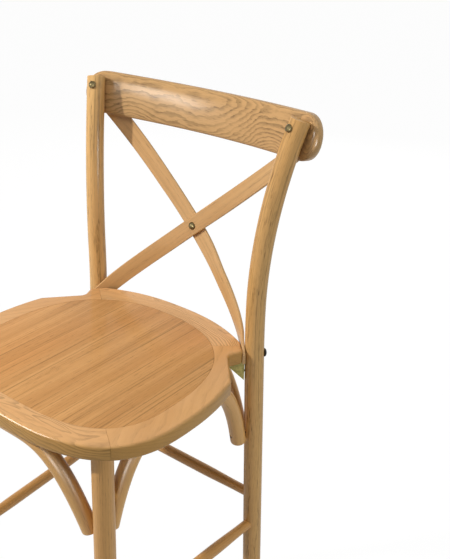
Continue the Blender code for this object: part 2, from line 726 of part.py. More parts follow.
def slat_mesh(side, step_back, grow=0.0):
    """Bent and twisted strip on its route, laid against the other slat where they cross."""
    points = slat_route(side)
    centre, square = slat_crossing()
    share = [min(1.0, abs(point.x) / SLAT_OVERLAP_REACH) for point in points]
    press = [math.cos(value * math.pi / 2) ** 2 for value in share]
    for point, amount in zip(points, press):
        off = (centre + square * step_back - point).dot(square) / square.y
        point.y += off * amount
    if grow:
        points.append(points[-1] + (points[-1] - points[-2]).normalized() * grow)
        press.append(0.0)
    shape = bmesh.new()
    last = len(points) - 1
    bmesh.ops.create_grid(shape, x_segments=1, y_segments=last, size=1)
    for vertex in shape.verts:
        index = round((vertex.co.y + 1) / 2 * last)
        run = (points[min(index + 1, last)] - points[max(index - 1, 0)]).normalized()
        facing = Vector((-side * run.y, side * run.x, 0)).normalized() * -1
        across = facing.cross(run) * side
        lean = slat_lean(points[index].z)
        leant = facing * math.cos(lean) - across * math.sin(lean)
        across = leant.lerp(square, press[index]).cross(run).normalized()
        vertex.co = points[index] + across * vertex.co.x * (SLAT_WIDTH / 2 + grow)
    bmesh.ops.triangulate(shape, faces=shape.faces, quad_method="FIXED")
    mesh = bpy.data.meshes.new("slat")
    shape.to_mesh(mesh)
    shape.free()
    strip = bpy.data.objects.new("strip", mesh)
    wall = strip.modifiers.new("thickness", "SOLIDIFY")
    wall.thickness = SLAT_THICKNESS + 2 * grow
    wall.offset = 0
    ease = strip.modifiers.new("edges", "BEVEL")
    ease.width = SLAT_EDGE
    ease.segments = 1
    ease.limit_method = "ANGLE"
    ease.angle_limit = BEVEL_ANGLE
    return baked(strip)


def corner_block(side, low, high):
    """Box in a corner joint's own frame."""
    outline = [(low[0], low[1]), (high[0], low[1]), (high[0], high[1]), (low[0], high[1])]
    return placed(plate(outline, low[2], high[2]), corner_frame(side))


def make_slats():
    """Two crossed slats: feet clamped between ear and post, heads tenoned up into the crest."""
    step_back = (SLAT_THICKNESS + POST_SLAT_GAP) / 2
    reach = 3 * SLAT_WIDTH
    level = SEAT_UNDERSIDE + CLEARANCE - (SEAT_HEIGHT - SEAT_BOLT_DROP)
    for name, side, offset in (("back_slat_front", -1, -step_back), ("back_slat_rear", 1, step_back)):
        slat = add_part(name, slat_mesh(side, offset), OAK)
        under = corner_block(side, (-reach, -reach, level - reach), (reach, reach, level))
        boolean(slat, add_cutter(name + "_under", under))
        beyond = corner_block(side, (-reach, -2 * reach, -reach), (reach, -EAR_WIDTH / 2, reach))
        boolean(slat, add_cutter(name + "_beyond", beyond))
        mortise = add_cutter(name + "_mortise", slat_mesh(side, offset, CLEARANCE))
        boolean(bpy.data.objects["crest_rail"], mortise)
    centre, rearward = slat_crossing()
    half_stack = step_back + SLAT_THICKNESS / 2 + CLEARANCE
    nut_bore = CAP_NUT_HEIGHT / 2
    bolt = bolt_profile(BOLT_HEAD_RADIUS, BOLT_HEAD_HEIGHT, BOLT_RADIUS, 2 * half_stack + nut_bore)
    front_face = aimed(centre - rearward * half_stack, -rearward)
    add_part("crossing_bolt", placed(turned(bolt, BOLT_STEPS), front_face), BRASS)
    bore = BOLT_RADIUS + CLEARANCE
    nut = bolt_profile(CAP_NUT_RADIUS, CAP_NUT_HEIGHT, bore, -nut_bore - CLEARANCE)
    rear_face = aimed(centre + rearward * half_stack, rearward)
    add_part("crossing_cap_nut", placed(turned(nut, BOLT_STEPS), rear_face), BRASS)
    for name in ("back_slat_front", "back_slat_rear"):
        drill(name, plug(bore, 4 * half_stack), aimed(centre - rearward * 2 * half_stack, rearward))


def make_corner_joints():
    """Bolt through post and slat foot into a barrel nut in the seat's ear, with a bracket below."""
    for name, side in SIDES.items():
        frame = corner_frame(side)
        outward = corner_axes(side)[0]
        length = POST_RADIUS + CLEARANCE + EAR_REACH + SEAT_BOLT_REACH
        bolt = bolt_profile(SEAT_BOLT_HEAD_RADIUS, SEAT_BOLT_HEAD_HEIGHT, BOLT_RADIUS, length)
        head_seat = aimed(frame.translation + outward * (POST_RADIUS + CLEARANCE), outward)
        add_part("seat_bolt_" + name, placed(turned(bolt, BOLT_STEPS), head_seat), BLACK_STEEL)
        bore = plug(BOLT_RADIUS + CLEARANCE, length + POST_RADIUS)
        start = aimed(frame.translation - outward * (EAR_REACH + SEAT_BOLT_REACH + CLEARANCE), outward)
        slat = "back_slat_front" if side < 0 else "back_slat_rear"
        for owner in ("rear_post_" + name, "seat_side_rail_" + name, slat, "seat_barrel_nut_" + name):
            drill(owner, bore, start)
        place = frame.translation - outward * (EAR_REACH + BARREL_DEPTH)
        place.z = SEAT_UNDERSIDE + (SEAT_THICKNESS - LAP_DEPTH - BARREL_LENGTH) / 2
        barrel = placed(plug(BARREL_RADIUS, BARREL_LENGTH), Matrix.Translation(place))
        add_part("seat_barrel_nut_" + name, barrel, BLACK_STEEL)
        place.z = SEAT_UNDERSIDE - CLEARANCE
        pocket_length = (SEAT_THICKNESS - LAP_DEPTH + BARREL_LENGTH) / 2 + 2 * CLEARANCE
        pocket = placed(plug(BARREL_RADIUS + CLEARANCE, pocket_length), Matrix.Translation(place))
        rail = bpy.data.objects["seat_side_rail_" + name]
        boolean(rail, add_cutter("barrel_pocket_" + name, pocket))
        leg_space = bpy.data.objects["leg_space_" + name]
        boolean(rail, leg_space)
        boolean(bpy.data.objects["seat_front_rail"], leg_space)


def make_brackets():
    """Folded steel corner bracket under each ear: a triangular web and two flanges, with its screws."""
    back = -(POST_RADIUS + POST_SLAT_GAP)
    top = SEAT_UNDERSIDE - CLEARANCE - (SEAT_HEIGHT - SEAT_BOLT_DROP)
    tip, low = back - BRACKET_LEG, top - BRACKET_LEG
    web = [(back, top), (tip, top), (back, low)]
    inner_x, inner_z = back - BRACKET_SHEET, top - BRACKET_SHEET
    hollow = [(inner_x, inner_z), (tip - BRACKET_LEG, inner_z), (inner_x, low - BRACKET_LEG)]
    upright = Matrix(((1, 0, 0), (0, 0, -1), (0, 1, 0))).to_4x4()
    half = BRACKET_WIDTH / 2
    head = bolt_profile(SCREW_HEAD_RADIUS, SCREW_HEAD_HEIGHT, SCREW_RADIUS, BRACKET_SCREW_LENGTH)
    screw = turned(head, SCREW_STEPS)
    hole = plug(SCREW_RADIUS + CLEARANCE, BRACKET_SCREW_LENGTH + 2 * CLEARANCE, SCREW_STEPS)
    flange_middle = BRACKET_SHEET / 2
    seat_screw_x = inner_x - BRACKET_LEG * BRACKET_SEAT_SCREW_SHARE
    post_screw_z = top - BRACKET_LEG * BRACKET_POST_SCREW_SHARE
    up_place = Vector((seat_screw_x, flange_middle, inner_z - CLEARANCE))
    out_place = Vector((inner_x - CLEARANCE, flange_middle, post_screw_z))
    for name, side in SIDES.items():
        frame = corner_frame(side)
        bracket = "corner_bracket_" + name
        add_part(bracket, placed(plate(web, -half, half), frame @ upright), ZINC)
        inside = placed(plate(hollow, -BRACKET_WIDTH, half - BRACKET_SHEET), frame @ upright)
        boolean(bpy.data.objects[bracket], add_cutter(bracket + "_fold", inside))
        outward = corner_axes(side)[0]
        fixings = (("seat", up_place, UP, "seat_side_rail_" + name),
                   ("post", out_place, outward, "rear_post_" + name))
        for label, place, direction, owner in fixings:
            seat = frame @ place
            screw_name = "bracket_{}_screw_{}".format(label, name)
            add_part(screw_name, placed(screw, aimed(seat, -direction)), BLACK_STEEL)
            for target in (bracket, owner):
                drill(target, hole, aimed(seat - direction * CLEARANCE, direction))


def arch_point(first, last, top, fullness, share):
    """Point of an arch between two ends, share -1 to 1, round at the top and steeper at the ends."""
    drop = abs(share) ** fullness
    middle = (first + last) / 2
    return top.lerp(middle, drop) + (last - first) / 2 * share


def arch_screw_profile(length, grow=0.0, clear_above=0.0):
    """Countersunk screw from its head down, or its hole with a way out above."""
    head = SCREW_HEAD_RADIUS + grow
    shank = SCREW_RADIUS + grow
    profile = [(0, clear_above), (head, clear_above)]
    if clear_above:
        profile.append((head, -grow))
    return profile + [(shank, -SCREW_HEAD_HEIGHT - grow), (shank, -length - grow), (0, -length - grow)]


def arch_specs():
    """Ends, top, fullness, leg at each end and seat piece above, for every arch."""
    top_z = SEAT_UNDERSIDE - ARCH_RADIUS + ARCH_FLAT
    leg_gap = LEG_RADIUS + ARCH_RADIUS - ARCH_COPE
    post_gap = POST_RADIUS + ARCH_RADIUS - ARCH_COPE
    leg_step = math.sqrt(leg_gap ** 2 - SIDE_ARCH_INSET ** 2)
    post_step = math.sqrt(post_gap ** 2 - SIDE_ARCH_INSET ** 2)
    inward = Vector((1, 0, 0))
    legs = {side: leg_axis(side, ARCH_END_HEIGHT) for side in SIDES.values()}
    posts = {side: post_axis(side, ARCH_END_HEIGHT) for side in SIDES.values()}
    specs = {"front_arch": (legs[-1] + inward * leg_gap, legs[1] - inward * leg_gap,
                            Vector((0, FRONT_ARCH_TOP_Y, top_z)), FRONT_ARCH_FULLNESS,
                            "front_leg_left", "front_leg_right", "seat_front_rail"),
             "rear_arch": (posts[-1] + inward * post_gap, posts[1] - inward * post_gap,
                           Vector((0, REAR_ARCH_TOP_Y, top_z)), REAR_ARCH_FULLNESS,
                           "rear_post_left", "rear_post_right", "seat_rear_rail")}
    for name, side in SIDES.items():
        front = legs[side] + Vector((-side * SIDE_ARCH_INSET, leg_step, 0))
        rear = posts[side] - Vector((side * SIDE_ARCH_INSET, post_step, 0))
        top = Vector((side * SIDE_ARCH_TOP_X, (front.y + rear.y) / 2, top_z))
        specs["side_arch_" + name] = (front, rear, top, SIDE_ARCH_FULLNESS,
                                      "front_leg_" + name, "rear_post_" + name, "seat_panel")
    return specs


def make_arches():
    """Bentwood arches coped to the legs, flat under the seat, screwed to both."""
    for name, (first, last, top, fullness, first_leg, last_leg, seat_piece) in arch_specs().items():
        turns = [2 * step / ARCH_STEPS - 1 for step in range(ARCH_STEPS + 1)]
        shares = [signed_power(turn, ARCH_CROWDING) for turn in turns]
        points = [arch_point(first, last, top, fullness, share) for share in shares]
        arch = add_part(name, rod(points, ARCH_RADIUS, None, ARCH_RESOLUTION), OAK)
        boolean(arch, bpy.data.objects["seat_level"])
        for leg in (first_leg, last_leg):
            space = leg.replace("front_leg", "leg_space").replace("rear_post", "post_space")
            boolean(arch, bpy.data.objects[space])
        reach = (1 - ARCH_SCREW_RISE / (top.z - ARCH_END_HEIGHT)) ** (1 / fullness)
        for share, leg in ((-reach, first_leg), (reach, last_leg)):
            side = -1 if leg.endswith("left") else 1
            axis = leg_axis if leg.startswith("front") else post_axis
            radius = LEG_RADIUS if leg.startswith("front") else POST_RADIUS
            place = arch_point(first, last, top, fullness, share)
            run = axis(side, place.z) - place
            length = ARCH_RADIUS - SCREW_SINK + run.length - radius + SCREW_BITE
            head = place - run.normalized() * (ARCH_RADIUS - SCREW_SINK)
            fix_arch("{}_screw_{}".format(name, leg), head, run, length, (name, leg))
        spread = 2 * ARCH_SCREW_SPREAD / (last - first).length
        for share, leg in ((-spread, first_leg), (spread, last_leg)):
            place = arch_point(first, last, top, fullness, share)
            head = place - UP * (ARCH_RADIUS - SCREW_SINK)
            length = SEAT_UNDERSIDE + SCREW_BITE - head.z
            fix_arch("{}_screw_seat_{}".format(name, leg), head, UP, length, (name, seat_piece))


def fix_arch(name, head, direction, length, owners):
    """Screw from its head along a direction, with its hole in each piece that it joins."""
    place = aimed(head, -direction)
    hole = turned(arch_screw_profile(length, CLEARANCE, 2 * ARCH_RADIUS), SCREW_STEPS)
    for owner in owners:
        drill(owner, hole, place)
    add_part(name, placed(turned(arch_screw_profile(length), SCREW_STEPS), place), BLACK_STEEL)


def make_stretcher(name, start, end, radius, end_radius, owners):
    """Turned stretcher that thins to its ends, each end let into a leg."""
    run = end - start
    way = run.normalized()
    length = run.length - 2 * MORTISE_SHORTFALL
    thin = length * STRETCHER_NECK_SHARE
    full = length * STRETCHER_SWELL_SHARE
    profile = [(0, length), (end_radius, length), (end_radius, length - thin), (radius, length - full)]
    profile += [(radius, full), (end_radius, thin), (end_radius, 0), (0, 0)]
    add_part(name, placed(turned(profile), aimed(start + way * MORTISE_SHORTFALL, way)), OAK)
    mortise = plug(end_radius + CLEARANCE, 2 * LEG_RADIUS, TURNED_STEPS)
    for owner, axis_point, direction in ((owners[0], start, way), (owners[1], end, -way)):
        drill(owner, mortise, aimed(axis_point + direction * (MORTISE_SHORTFALL - CLEARANCE), direction))


def make_stretchers():
    """Stepped stretchers: foot rest lowest in front, sides above it, rear highest."""
    sizes = (STRETCHER_RADIUS, STRETCHER_END_RADIUS)
    front = [leg_axis(side, FOOTREST_HEIGHT) for side in SIDES.values()]
    rear = [post_axis(side, REAR_STRETCHER_HEIGHT) for side in SIDES.values()]
    make_stretcher("front_footrest", *front, FOOTREST_RADIUS, FOOTREST_END_RADIUS,
                   ("front_leg_left", "front_leg_right"))
    make_stretcher("rear_stretcher", *rear, *sizes, ("rear_post_left", "rear_post_right"))
    for name, side in SIDES.items():
        ends = leg_axis(side, SIDE_STRETCHER_HEIGHT), post_axis(side, SIDE_STRETCHER_HEIGHT)
        make_stretcher("side_stretcher_" + name, *ends, *sizes, ("front_leg_" + name, "rear_post_" + name))


def make_spaces():
    """Room that each leg, each post and the seat take from the pieces fitted to them."""
    for name, side in SIDES.items():
        add_cutter("post_space_" + name, post_rod(side, CLEARANCE))
        add_cutter("leg_space_" + name, leg_mesh(side, CLEARANCE))
    reach = 2 * SEAT_HALF_WIDTH
    square = [(-reach, -reach), (reach, -reach), (reach, reach), (-reach, reach)]
    add_cutter("seat_level", plate(square, SEAT_UNDERSIDE - CLEARANCE, SEAT_HEIGHT))


def centre_on_floor():
    """Stand the stool so that the middle of its box is over the origin."""
    bpy.context.view_layer.update()
    graph = bpy.context.evaluated_depsgraph_get()
    depths = []
    for part in PARTS.objects:
        if part.type == "MESH":
            shown = part.evaluated_get(graph)
            depths += [(shown.matrix_world @ vertex.co).y for vertex in shown.to_mesh().vertices]
            shown.to_mesh_clear()
    ROOT.location.y = -(min(depths) + max(depths)) / 2
    bpy.context.view_layer.update()


def main():
    make_spaces()
    make_posts_and_legs()
    make_seat()
    make_crest()
    make_slats()
    make_corner_joints()
    make_brackets()
    make_arches()
    make_stretchers()
    drill_parts()
    centre_on_floor()


main()
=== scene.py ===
import json
import math
from contextlib import contextmanager
from typing import NamedTuple

import bmesh
import bpy
from mathutils import Matrix, Vector
from mathutils.kdtree import KDTree

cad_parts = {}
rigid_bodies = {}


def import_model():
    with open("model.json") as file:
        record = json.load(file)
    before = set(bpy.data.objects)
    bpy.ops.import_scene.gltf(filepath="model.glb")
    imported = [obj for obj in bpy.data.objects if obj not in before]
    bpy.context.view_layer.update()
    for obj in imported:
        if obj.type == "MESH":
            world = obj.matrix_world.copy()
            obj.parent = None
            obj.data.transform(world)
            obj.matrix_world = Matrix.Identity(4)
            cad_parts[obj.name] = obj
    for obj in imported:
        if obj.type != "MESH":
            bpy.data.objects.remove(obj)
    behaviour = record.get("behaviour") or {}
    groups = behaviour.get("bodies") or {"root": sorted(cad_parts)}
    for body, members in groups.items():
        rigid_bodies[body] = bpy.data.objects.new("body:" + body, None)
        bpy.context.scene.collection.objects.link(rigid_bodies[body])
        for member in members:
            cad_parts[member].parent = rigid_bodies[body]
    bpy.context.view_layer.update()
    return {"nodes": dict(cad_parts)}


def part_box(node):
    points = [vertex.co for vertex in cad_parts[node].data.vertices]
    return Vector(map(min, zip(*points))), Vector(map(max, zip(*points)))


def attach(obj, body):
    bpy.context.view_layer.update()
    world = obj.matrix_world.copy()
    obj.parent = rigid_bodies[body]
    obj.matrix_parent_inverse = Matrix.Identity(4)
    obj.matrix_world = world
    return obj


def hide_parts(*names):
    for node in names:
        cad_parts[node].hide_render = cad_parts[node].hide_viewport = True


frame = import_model()

bl_info = {
    "name": "Cross Back Bar Stool",
    "version": (1, 0, 0),
    "blender": (4, 5, 0),
    "location": "View3D > Sidebar > Stool",
    "description": "Dresses the solids of a cross back bar stool as lacquered oak with brass bolts",
    "category": "Object",
}

SIDES = {"left": -1, "right": 1}
ACROSS, BACK, UP = Vector((1, 0, 0)), Vector((0, 1, 0)), Vector((0, 0, 1))
JOINT_GAP = 0.0003
GLIDE_HEIGHT = 0.004
PANEL_LOW, PANEL_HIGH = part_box("seat_panel")
GLIDE_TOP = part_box("foot_glide_front_left")[0].z + GLIDE_HEIGHT + JOINT_GAP
MIDDLE = Vector((0, (PANEL_LOW.y + PANEL_HIGH.y) / 2, 0))


def length(name, description, default):
    return bpy.props.FloatProperty(name=name, description=description, default=default,
                                   unit="LENGTH", precision=4)


def angle(name, description, degrees):
    return bpy.props.FloatProperty(name=name, description=description, default=math.radians(degrees),
                                   subtype="ANGLE")


def fullness(name, description, default):
    return bpy.props.FloatProperty(name=name, description=description, default=default, min=1, max=8)


def portion(name, description, default):
    return bpy.props.FloatProperty(name=name, description=description, default=default, min=0, max=1,
                                   subtype="FACTOR")


def colour(name, description, default):
    return bpy.props.FloatVectorProperty(name=name, description=description, default=default, size=3,
                                         min=0, max=1, subtype="COLOR")


class StoolSizes(bpy.types.PropertyGroup):
    """Sizes of the stool, from the seat's middle line."""
    seat_height: length("Seat height", "Top of the seat above the floor", PANEL_HIGH.z)
    seat_thickness: length("Seat thickness", "Thickness of panel and rails", PANEL_HIGH.z - PANEL_LOW.z)
    seat_half_width: length("Seat half width", "Middle line to the widest point", 0.2225)
    seat_widest_y: length("Widest point", "Where the seat is widest", -0.030)
    seat_front_reach: length("Front reach", "Widest point to the front edge", 0.177)
    seat_front_fullness: fullness("Front fullness", "How square the front corners are", 2.9)
    seat_rear_y: length("Rear edge", "Rear edge on the middle line", 0.209)
    seat_rear_fullness: fullness("Rear fullness", "How flat the rear edge is", 2.4)
    seat_rim: length("Rim round", "Rounding of the seat's rim", 0.0042)
    shoulder_x: length("Shoulder across", "Corner ahead of each post", 0.209)
    shoulder_y: length("Shoulder back", "Corner ahead of each post", 0.072)
    shoulder_radius: length("Shoulder radius", "Rounding of the shoulder", 0.010)
    notch_x: length("Notch across", "Inner corner beside each post", 0.159)
    notch_y: length("Notch back", "Inner corner beside each post", 0.130)
    notch_radius: length("Notch radius", "Rounding of the notch", 0.012)
    ear_width: length("Ear width", "Slanted ear that meets the slat", 0.029)
    panel_half_width: length("Panel half width", "Middle line to the panel's side", 0.1845)
    panel_front_reach: length("Panel front reach", "Widest point to the panel's front", 0.141)
    panel_front_fullness: fullness("Panel front fullness", "How square its front is", 2.85)
    panel_rear_reach: length("Panel rear reach", "Widest point to the panel's rear", 0.201)
    panel_rear_fullness: fullness("Panel rear fullness", "How square its rear is", 2.4)
    panel_ease: length("Panel ease", "Rounding of the panel's edge", 0.0004)
    joint_gap: length("Joint gap", "Open line between pieces", JOINT_GAP)
    front_mitre_x: length("Front mitre across", "Point on the front mitre", 0.167)
    front_mitre_y: length("Front mitre back", "Point on the front mitre", -0.148)
    front_mitre_angle: angle("Front mitre angle", "Direction of the front mitre", -37)
    rear_mitre_x: length("Rear mitre across", "Point on the rear mitre", 0.144)
    rear_mitre_y: length("Rear mitre back", "Point on the rear mitre", 0.153)
    rear_mitre_angle: angle("Rear mitre angle", "Direction of the rear mitre", 39)
    post_radius: length("Post radius", "Radius of the rear posts", 0.0155)
    post_foot_radius: length("Post foot radius", "Radius at the floor", 0.0135)
    post_ease: length("Post ease", "Rounding of the posts' ends", 0.0008)
    post_seat_x: length("Post across", "Post axis at seat height", 0.1742)
    post_seat_y: length("Post back", "Post axis at seat height", 0.180)
    post_splay: angle("Post splay", "Sideways slope below the seat", 1.610)
    post_rake: angle("Post rake", "Rearward slope below the seat", 0.722)
    back_height: length("Back height", "Post top above the seat", 0.367)
    post_flare: length("Post flare", "Sideways bend of the post's top", 0.0425)
    post_lean: length("Post lean", "Rearward bend of the post's top", 0.0468)
    post_lean_start: length("Lean start", "Height above the seat where the lean starts", 0.069)
    leg_radius: length("Leg radius", "Radius of the front legs", 0.016)
    leg_foot_radius: length("Leg foot radius", "Radius at the floor", 0.0135)
    leg_seat_x: length("Leg across", "Leg axis at seat height", 0.156)
    leg_seat_y: length("Leg back", "Leg axis at seat height", -0.149)
    leg_tenon: length("Leg tenon", "How far the leg goes up into the seat", 0.003)
    leg_splay: angle("Leg splay", "Sideways slope", 1.673)
    leg_rake: angle("Leg rake", "Forward slope", 1.793)
    taper_height: length("Taper height", "Height where the taper starts", 0.300)
    rod_ease: length("Rod ease", "Rounding of the ends of legs and stretchers", 0.0012)
    crest_length: length("Crest length", "Overall length of the crest rail", 0.475)
    crest_width: length("Crest width", "Height of the crest board", 0.072)
    crest_thickness: length("Crest thickness", "Thickness of the crest board", 0.028)
    crest_fullness: fullness("Crest fullness", "How square the crest's edges are", 8.0)
    crest_crown: portion("Crest crown", "How much the crest's face swells in the middle", 0.35)
    crest_lower_crown: portion("Lower crown", "Part of the crown on the crest's lower half", 0.4)
    crest_end_round: length("Crest end round", "Rounding of the crest's ends", 0.021)
    crest_end_fullness: fullness("Crest end fullness", "How square the crest's ends are", 2.6)
    crest_bow: length("Crest bow", "Depth of the crest's bend", 0.0511)
    crest_tilt: angle("Crest tilt", "Lean of the crest", 12)
    crest_housing: length("Crest housing", "How far the crest is let over the post", 0.002)
    crest_drop: length("Crest drop", "Crest's middle below its bolts", 0.010)
    crest_bolt_drop: length("Bolt drop", "Crest bolts below the post's top", 0.015)
    slat_width: length("Slat width", "Width of the crossed slats", 0.0293)
    slat_thickness: length("Slat thickness", "Thickness of the crossed slats", 0.0048)
    slat_edge: length("Slat edge", "Rounding of the slats' edges", 0.0012)
    slat_foot_drop: length("Slat foot drop", "Slat's foot below the seat's top", 0.016)
    slat_foot_rise: angle("Slat foot rise", "Slope of the slat's foot", 43)
    slat_foot_grip: length("Slat foot grip", "Straight length of the slat's foot", 0.024)
    slat_top_x: length("Slat top across", "Where the slat enters the crest", 0.1955)
    slat_top_sweep: angle("Slat top sweep", "Forward sweep at the crest", 7.632)
    slat_top_lean: angle("Slat top lean", "Lean of the slat at the crest", 24)
    slat_tenon: length("Slat tenon", "Depth of the slat in the crest", 0.015)
    slat_lower_pull: length("Slat lower pull", "How far the foot's direction holds", 0.072)
    slat_upper_pull: length("Slat upper pull", "How far the top's direction holds", 0.188)
    slat_overlap: length("Slat overlap", "Half the length pressed flat at the crossing", 0.080)
    slat_gap: length("Slat gap", "Open line beside a slat", 0.0008)
    corner_angle: angle("Corner angle", "Slant of the corner joints", 44)
    seat_bolt_drop: length("Seat bolt drop", "Corner bolt below the seat's top", 0.0125)
    arch_radius: length("Arch radius", "Radius of the bentwood arches", 0.0130)
    arch_height: length("Arch height", "Arch ends below the seat", 0.149)
    arch_cope: length("Arch cope", "Hollow of the arch against its leg", 0.0006)
    arch_ease: length("Arch ease", "Rounding of the arches' ends", 0.002)
    arch_flat: length("Arch flat", "Flat of the arch under the seat", 0.0012)
    arch_fullness: fullness("Arch fullness", "How square the front and rear arches are", 3.8)
    side_arch_fullness: fullness("Side arch fullness", "How square the side arches are", 4.2)
    front_arch_y: length("Front arch", "Top of the front arch", -0.180)
    rear_arch_y: length("Rear arch", "Top of the rear arch", 0.189)
    side_arch_x: length("Side arch", "Top of the side arches", 0.163)
    side_arch_inset: length("Side arch inset", "Side arch ends inside the leg's middle", 0.013)
    arch_screw_rise: length("Arch screw rise", "Leg screw above the arch's end", 0.014)
    arch_screw_spread: length("Arch screw spread", "Seat screws from the arch's middle", 0.028)
    stretcher_radius: length("Stretcher radius", "Middle of the stretchers", 0.0097)
    stretcher_end: length("Stretcher end", "Ends of the stretchers", 0.0083)
    rear_stretcher: length("Rear stretcher", "Height of the rear stretcher", 0.4667)
    side_stretcher: length("Side stretchers", "Height of the side stretchers", 0.411)
    footrest: length("Foot rest", "Height of the foot rest", 0.310)
    footrest_radius: length("Foot rest radius", "Middle of the foot rest", 0.0115)
    footrest_end: length("Foot rest end", "Ends of the foot rest", 0.0085)
    bolt_head_radius: length("Bolt head radius", "Domed brass bolts", 0.0063)
    bolt_head_height: length("Bolt head height", "Domed brass bolts", 0.0042)
    screw_head_radius: length("Screw head radius", "Arch and bracket screws", 0.0036)
    screw_head_height: length("Screw head height", "Arch and bracket screws", 0.0025)
    screw_radius: length("Screw radius", "Shanks of the screws", 0.0018)
    screw_sink: length("Screw sink", "Screw heads below the wood", 0.002)
    screw_bite: length("Screw bite", "How far the arch screws go into the next piece", 0.012)
    screw_recess: length("Screw recess", "Width of the driver's cross", 0.0009)
    screw_recess_length: length("Screw recess length", "Length of the driver's cross", 0.00432)
    bolt_radius: length("Bolt radius", "Shanks of the bolts", 0.003)
    seat_bolt_head_radius: length("Seat bolt head radius", "Dark bolts behind the posts", 0.007)
    seat_bolt_head_height: length("Seat bolt head height", "Dark bolts behind the posts", 0.0038)
    cap_nut_radius: length("Cap nut radius", "Nut behind the crossing", 0.0055)
    cap_nut_height: length("Cap nut height", "Nut behind the crossing", 0.0075)
    insert_length: length("Insert length", "Threaded inserts in the crest", 0.012)
    seat_bolt_reach: length("Seat bolt reach", "Corner bolt's length in the seat's ear", 0.022)
    glide_radius: length("Glide radius", "Foot glides", 0.0105)
    glide_height: length("Glide height", "Foot glides", GLIDE_HEIGHT)
    glide_pin_radius: length("Glide pin radius", "Pins of the glides", 0.002)
    glide_pin_length: length("Glide pin length", "Pins of the glides", 0.014)


class StoolFinish(bpy.types.PropertyGroup):
    """Colours of the stool's finishes."""
    oak_light: colour("Oak light", "Palest wood between the rings", (0.63, 0.360, 0.150))
    oak_deep: colour("Oak deep", "Deeper wood in the streaks", (0.46, 0.235, 0.085))
    oak_blush: colour("Oak blush", "Warm patches in the wood", (0.58, 0.290, 0.105))
    # Painted shade: this colour multiplies the seat's side faces below the top and darkens them as if
    # they were in shade.
    rim_shade: colour("Oak edge", "Darker shading on the seat's rim", (0.72, 0.70, 0.46))
    oak_ring: colour("Oak ring", "Lines of the growth rings", (0.29, 0.165, 0.066))
    oak_pore: colour("Oak pore", "Pores under the lacquer", (0.17, 0.090, 0.040))
    brass: colour("Antique brass", "Domed bolts", (0.21, 0.165, 0.080))
    steel: colour("Dark steel", "Bolts and screws under the seat", (0.035, 0.032, 0.030))
    bracket: colour("Bracket", "Olive corner brackets", (0.455, 0.397, 0.128))
    nylon: colour("Nylon", "Foot glides", (0.09, 0.075, 0.06))
    floor: colour("Floor", "Pale floor", (0.36, 0.355, 0.35))


def sizes():
    return bpy.context.scene.stool_sizes


def finish():
    return bpy.context.scene.stool_finish


# Routes of the stool's pieces, from the seat's middle line

def under_seat():
    """Height of the seat's underside."""
    s = sizes()
    return s.seat_height - s.seat_thickness


def post_top():
    """Height of the rear posts' tops."""
    s = sizes()
    return s.seat_height + s.back_height


def ear_reach():
    """How far the face of the seat's ear is from the post's axis."""
    s = sizes()
    return s.post_radius + s.slat_gap + s.slat_thickness + s.joint_gap


def post_axis(side, height):
    """Centre of a rear post: splayed below the seat, flared and leant above."""
    s = sizes()
    rise = height - s.seat_height
    flare = s.post_flare * (max(0.0, rise) / s.back_height) ** 2
    lean_run = max(0.0, rise - s.post_lean_start) / (s.back_height - s.post_lean_start)
    x = s.post_seat_x - math.tan(s.post_splay) * rise + flare
    y = s.post_seat_y - math.tan(s.post_rake) * rise + s.post_lean * lean_run ** 2
    return Vector((side * x, y, height))


def leg_axis(side, height):
    """Centre of a front leg, splayed and raked."""
    s = sizes()
    drop = s.seat_height - height
    x = s.leg_seat_x + math.tan(s.leg_splay) * drop
    return Vector((side * x, s.leg_seat_y - math.tan(s.leg_rake) * drop, height))


def taper(radius, foot_radius, height):
    """Radius of a leg or post at a height."""
    return foot_radius + (radius - foot_radius) * min(1.0, height / sizes().taper_height)


def corner_axes(side):
    """Outward and along directions of the slanted joint between a seat ear and its post."""
    turn = sizes().corner_angle
    outward = Vector((side * math.cos(turn), math.sin(turn), 0))
    return outward, Vector((-side * math.sin(turn), math.cos(turn), 0))


def corner_place(side):
    """Where the corner bolt passes the post's axis."""
    s = sizes()
    return post_axis(side, s.seat_height - s.seat_bolt_drop)


def bolt_height():
    """Height of the crest bolts."""
    return post_top() - sizes().crest_bolt_drop


def crest_axes():
    """Up and rearward directions of the crest, which leans back."""
    tilt = sizes().crest_tilt
    return Vector((0, math.sin(tilt), math.cos(tilt))), Vector((0, math.cos(tilt), -math.sin(tilt)))


def crest_normal(side):
    """Rearward direction square to the bowed crest at a post."""
    s = sizes()
    slope = 2 * s.crest_bow * post_axis(1, bolt_height()).x / (s.crest_length / 2) ** 2
    return (crest_axes()[1] + Vector((side * slope, 0, 0))).normalized()


def crest_bolt_axis(side):
    """Rearward direction of a crest bolt, square to its post."""
    run = (post_axis(side, post_top()) - post_axis(side, bolt_height())).normalized()
    normal = crest_normal(side)
    return (normal - run * normal.dot(run)).normalized()


def crest_point(x, rise, depth):
    """Point of the crest from its place along the board, above its middle and behind its middle."""
    s = sizes()
    up, rearward = crest_axes()
    post = post_axis(1, bolt_height())
    half = s.crest_length / 2
    bow = s.crest_bow * ((post.x / half) ** 2 - (x / half) ** 2)
    seat = (s.post_radius + s.crest_thickness / 2 - s.crest_housing) / rearward.dot(crest_normal(1))
    return Vector((x, post.y, post.z)) + up * (rise - s.crest_drop) + rearward * (seat + bow + depth)


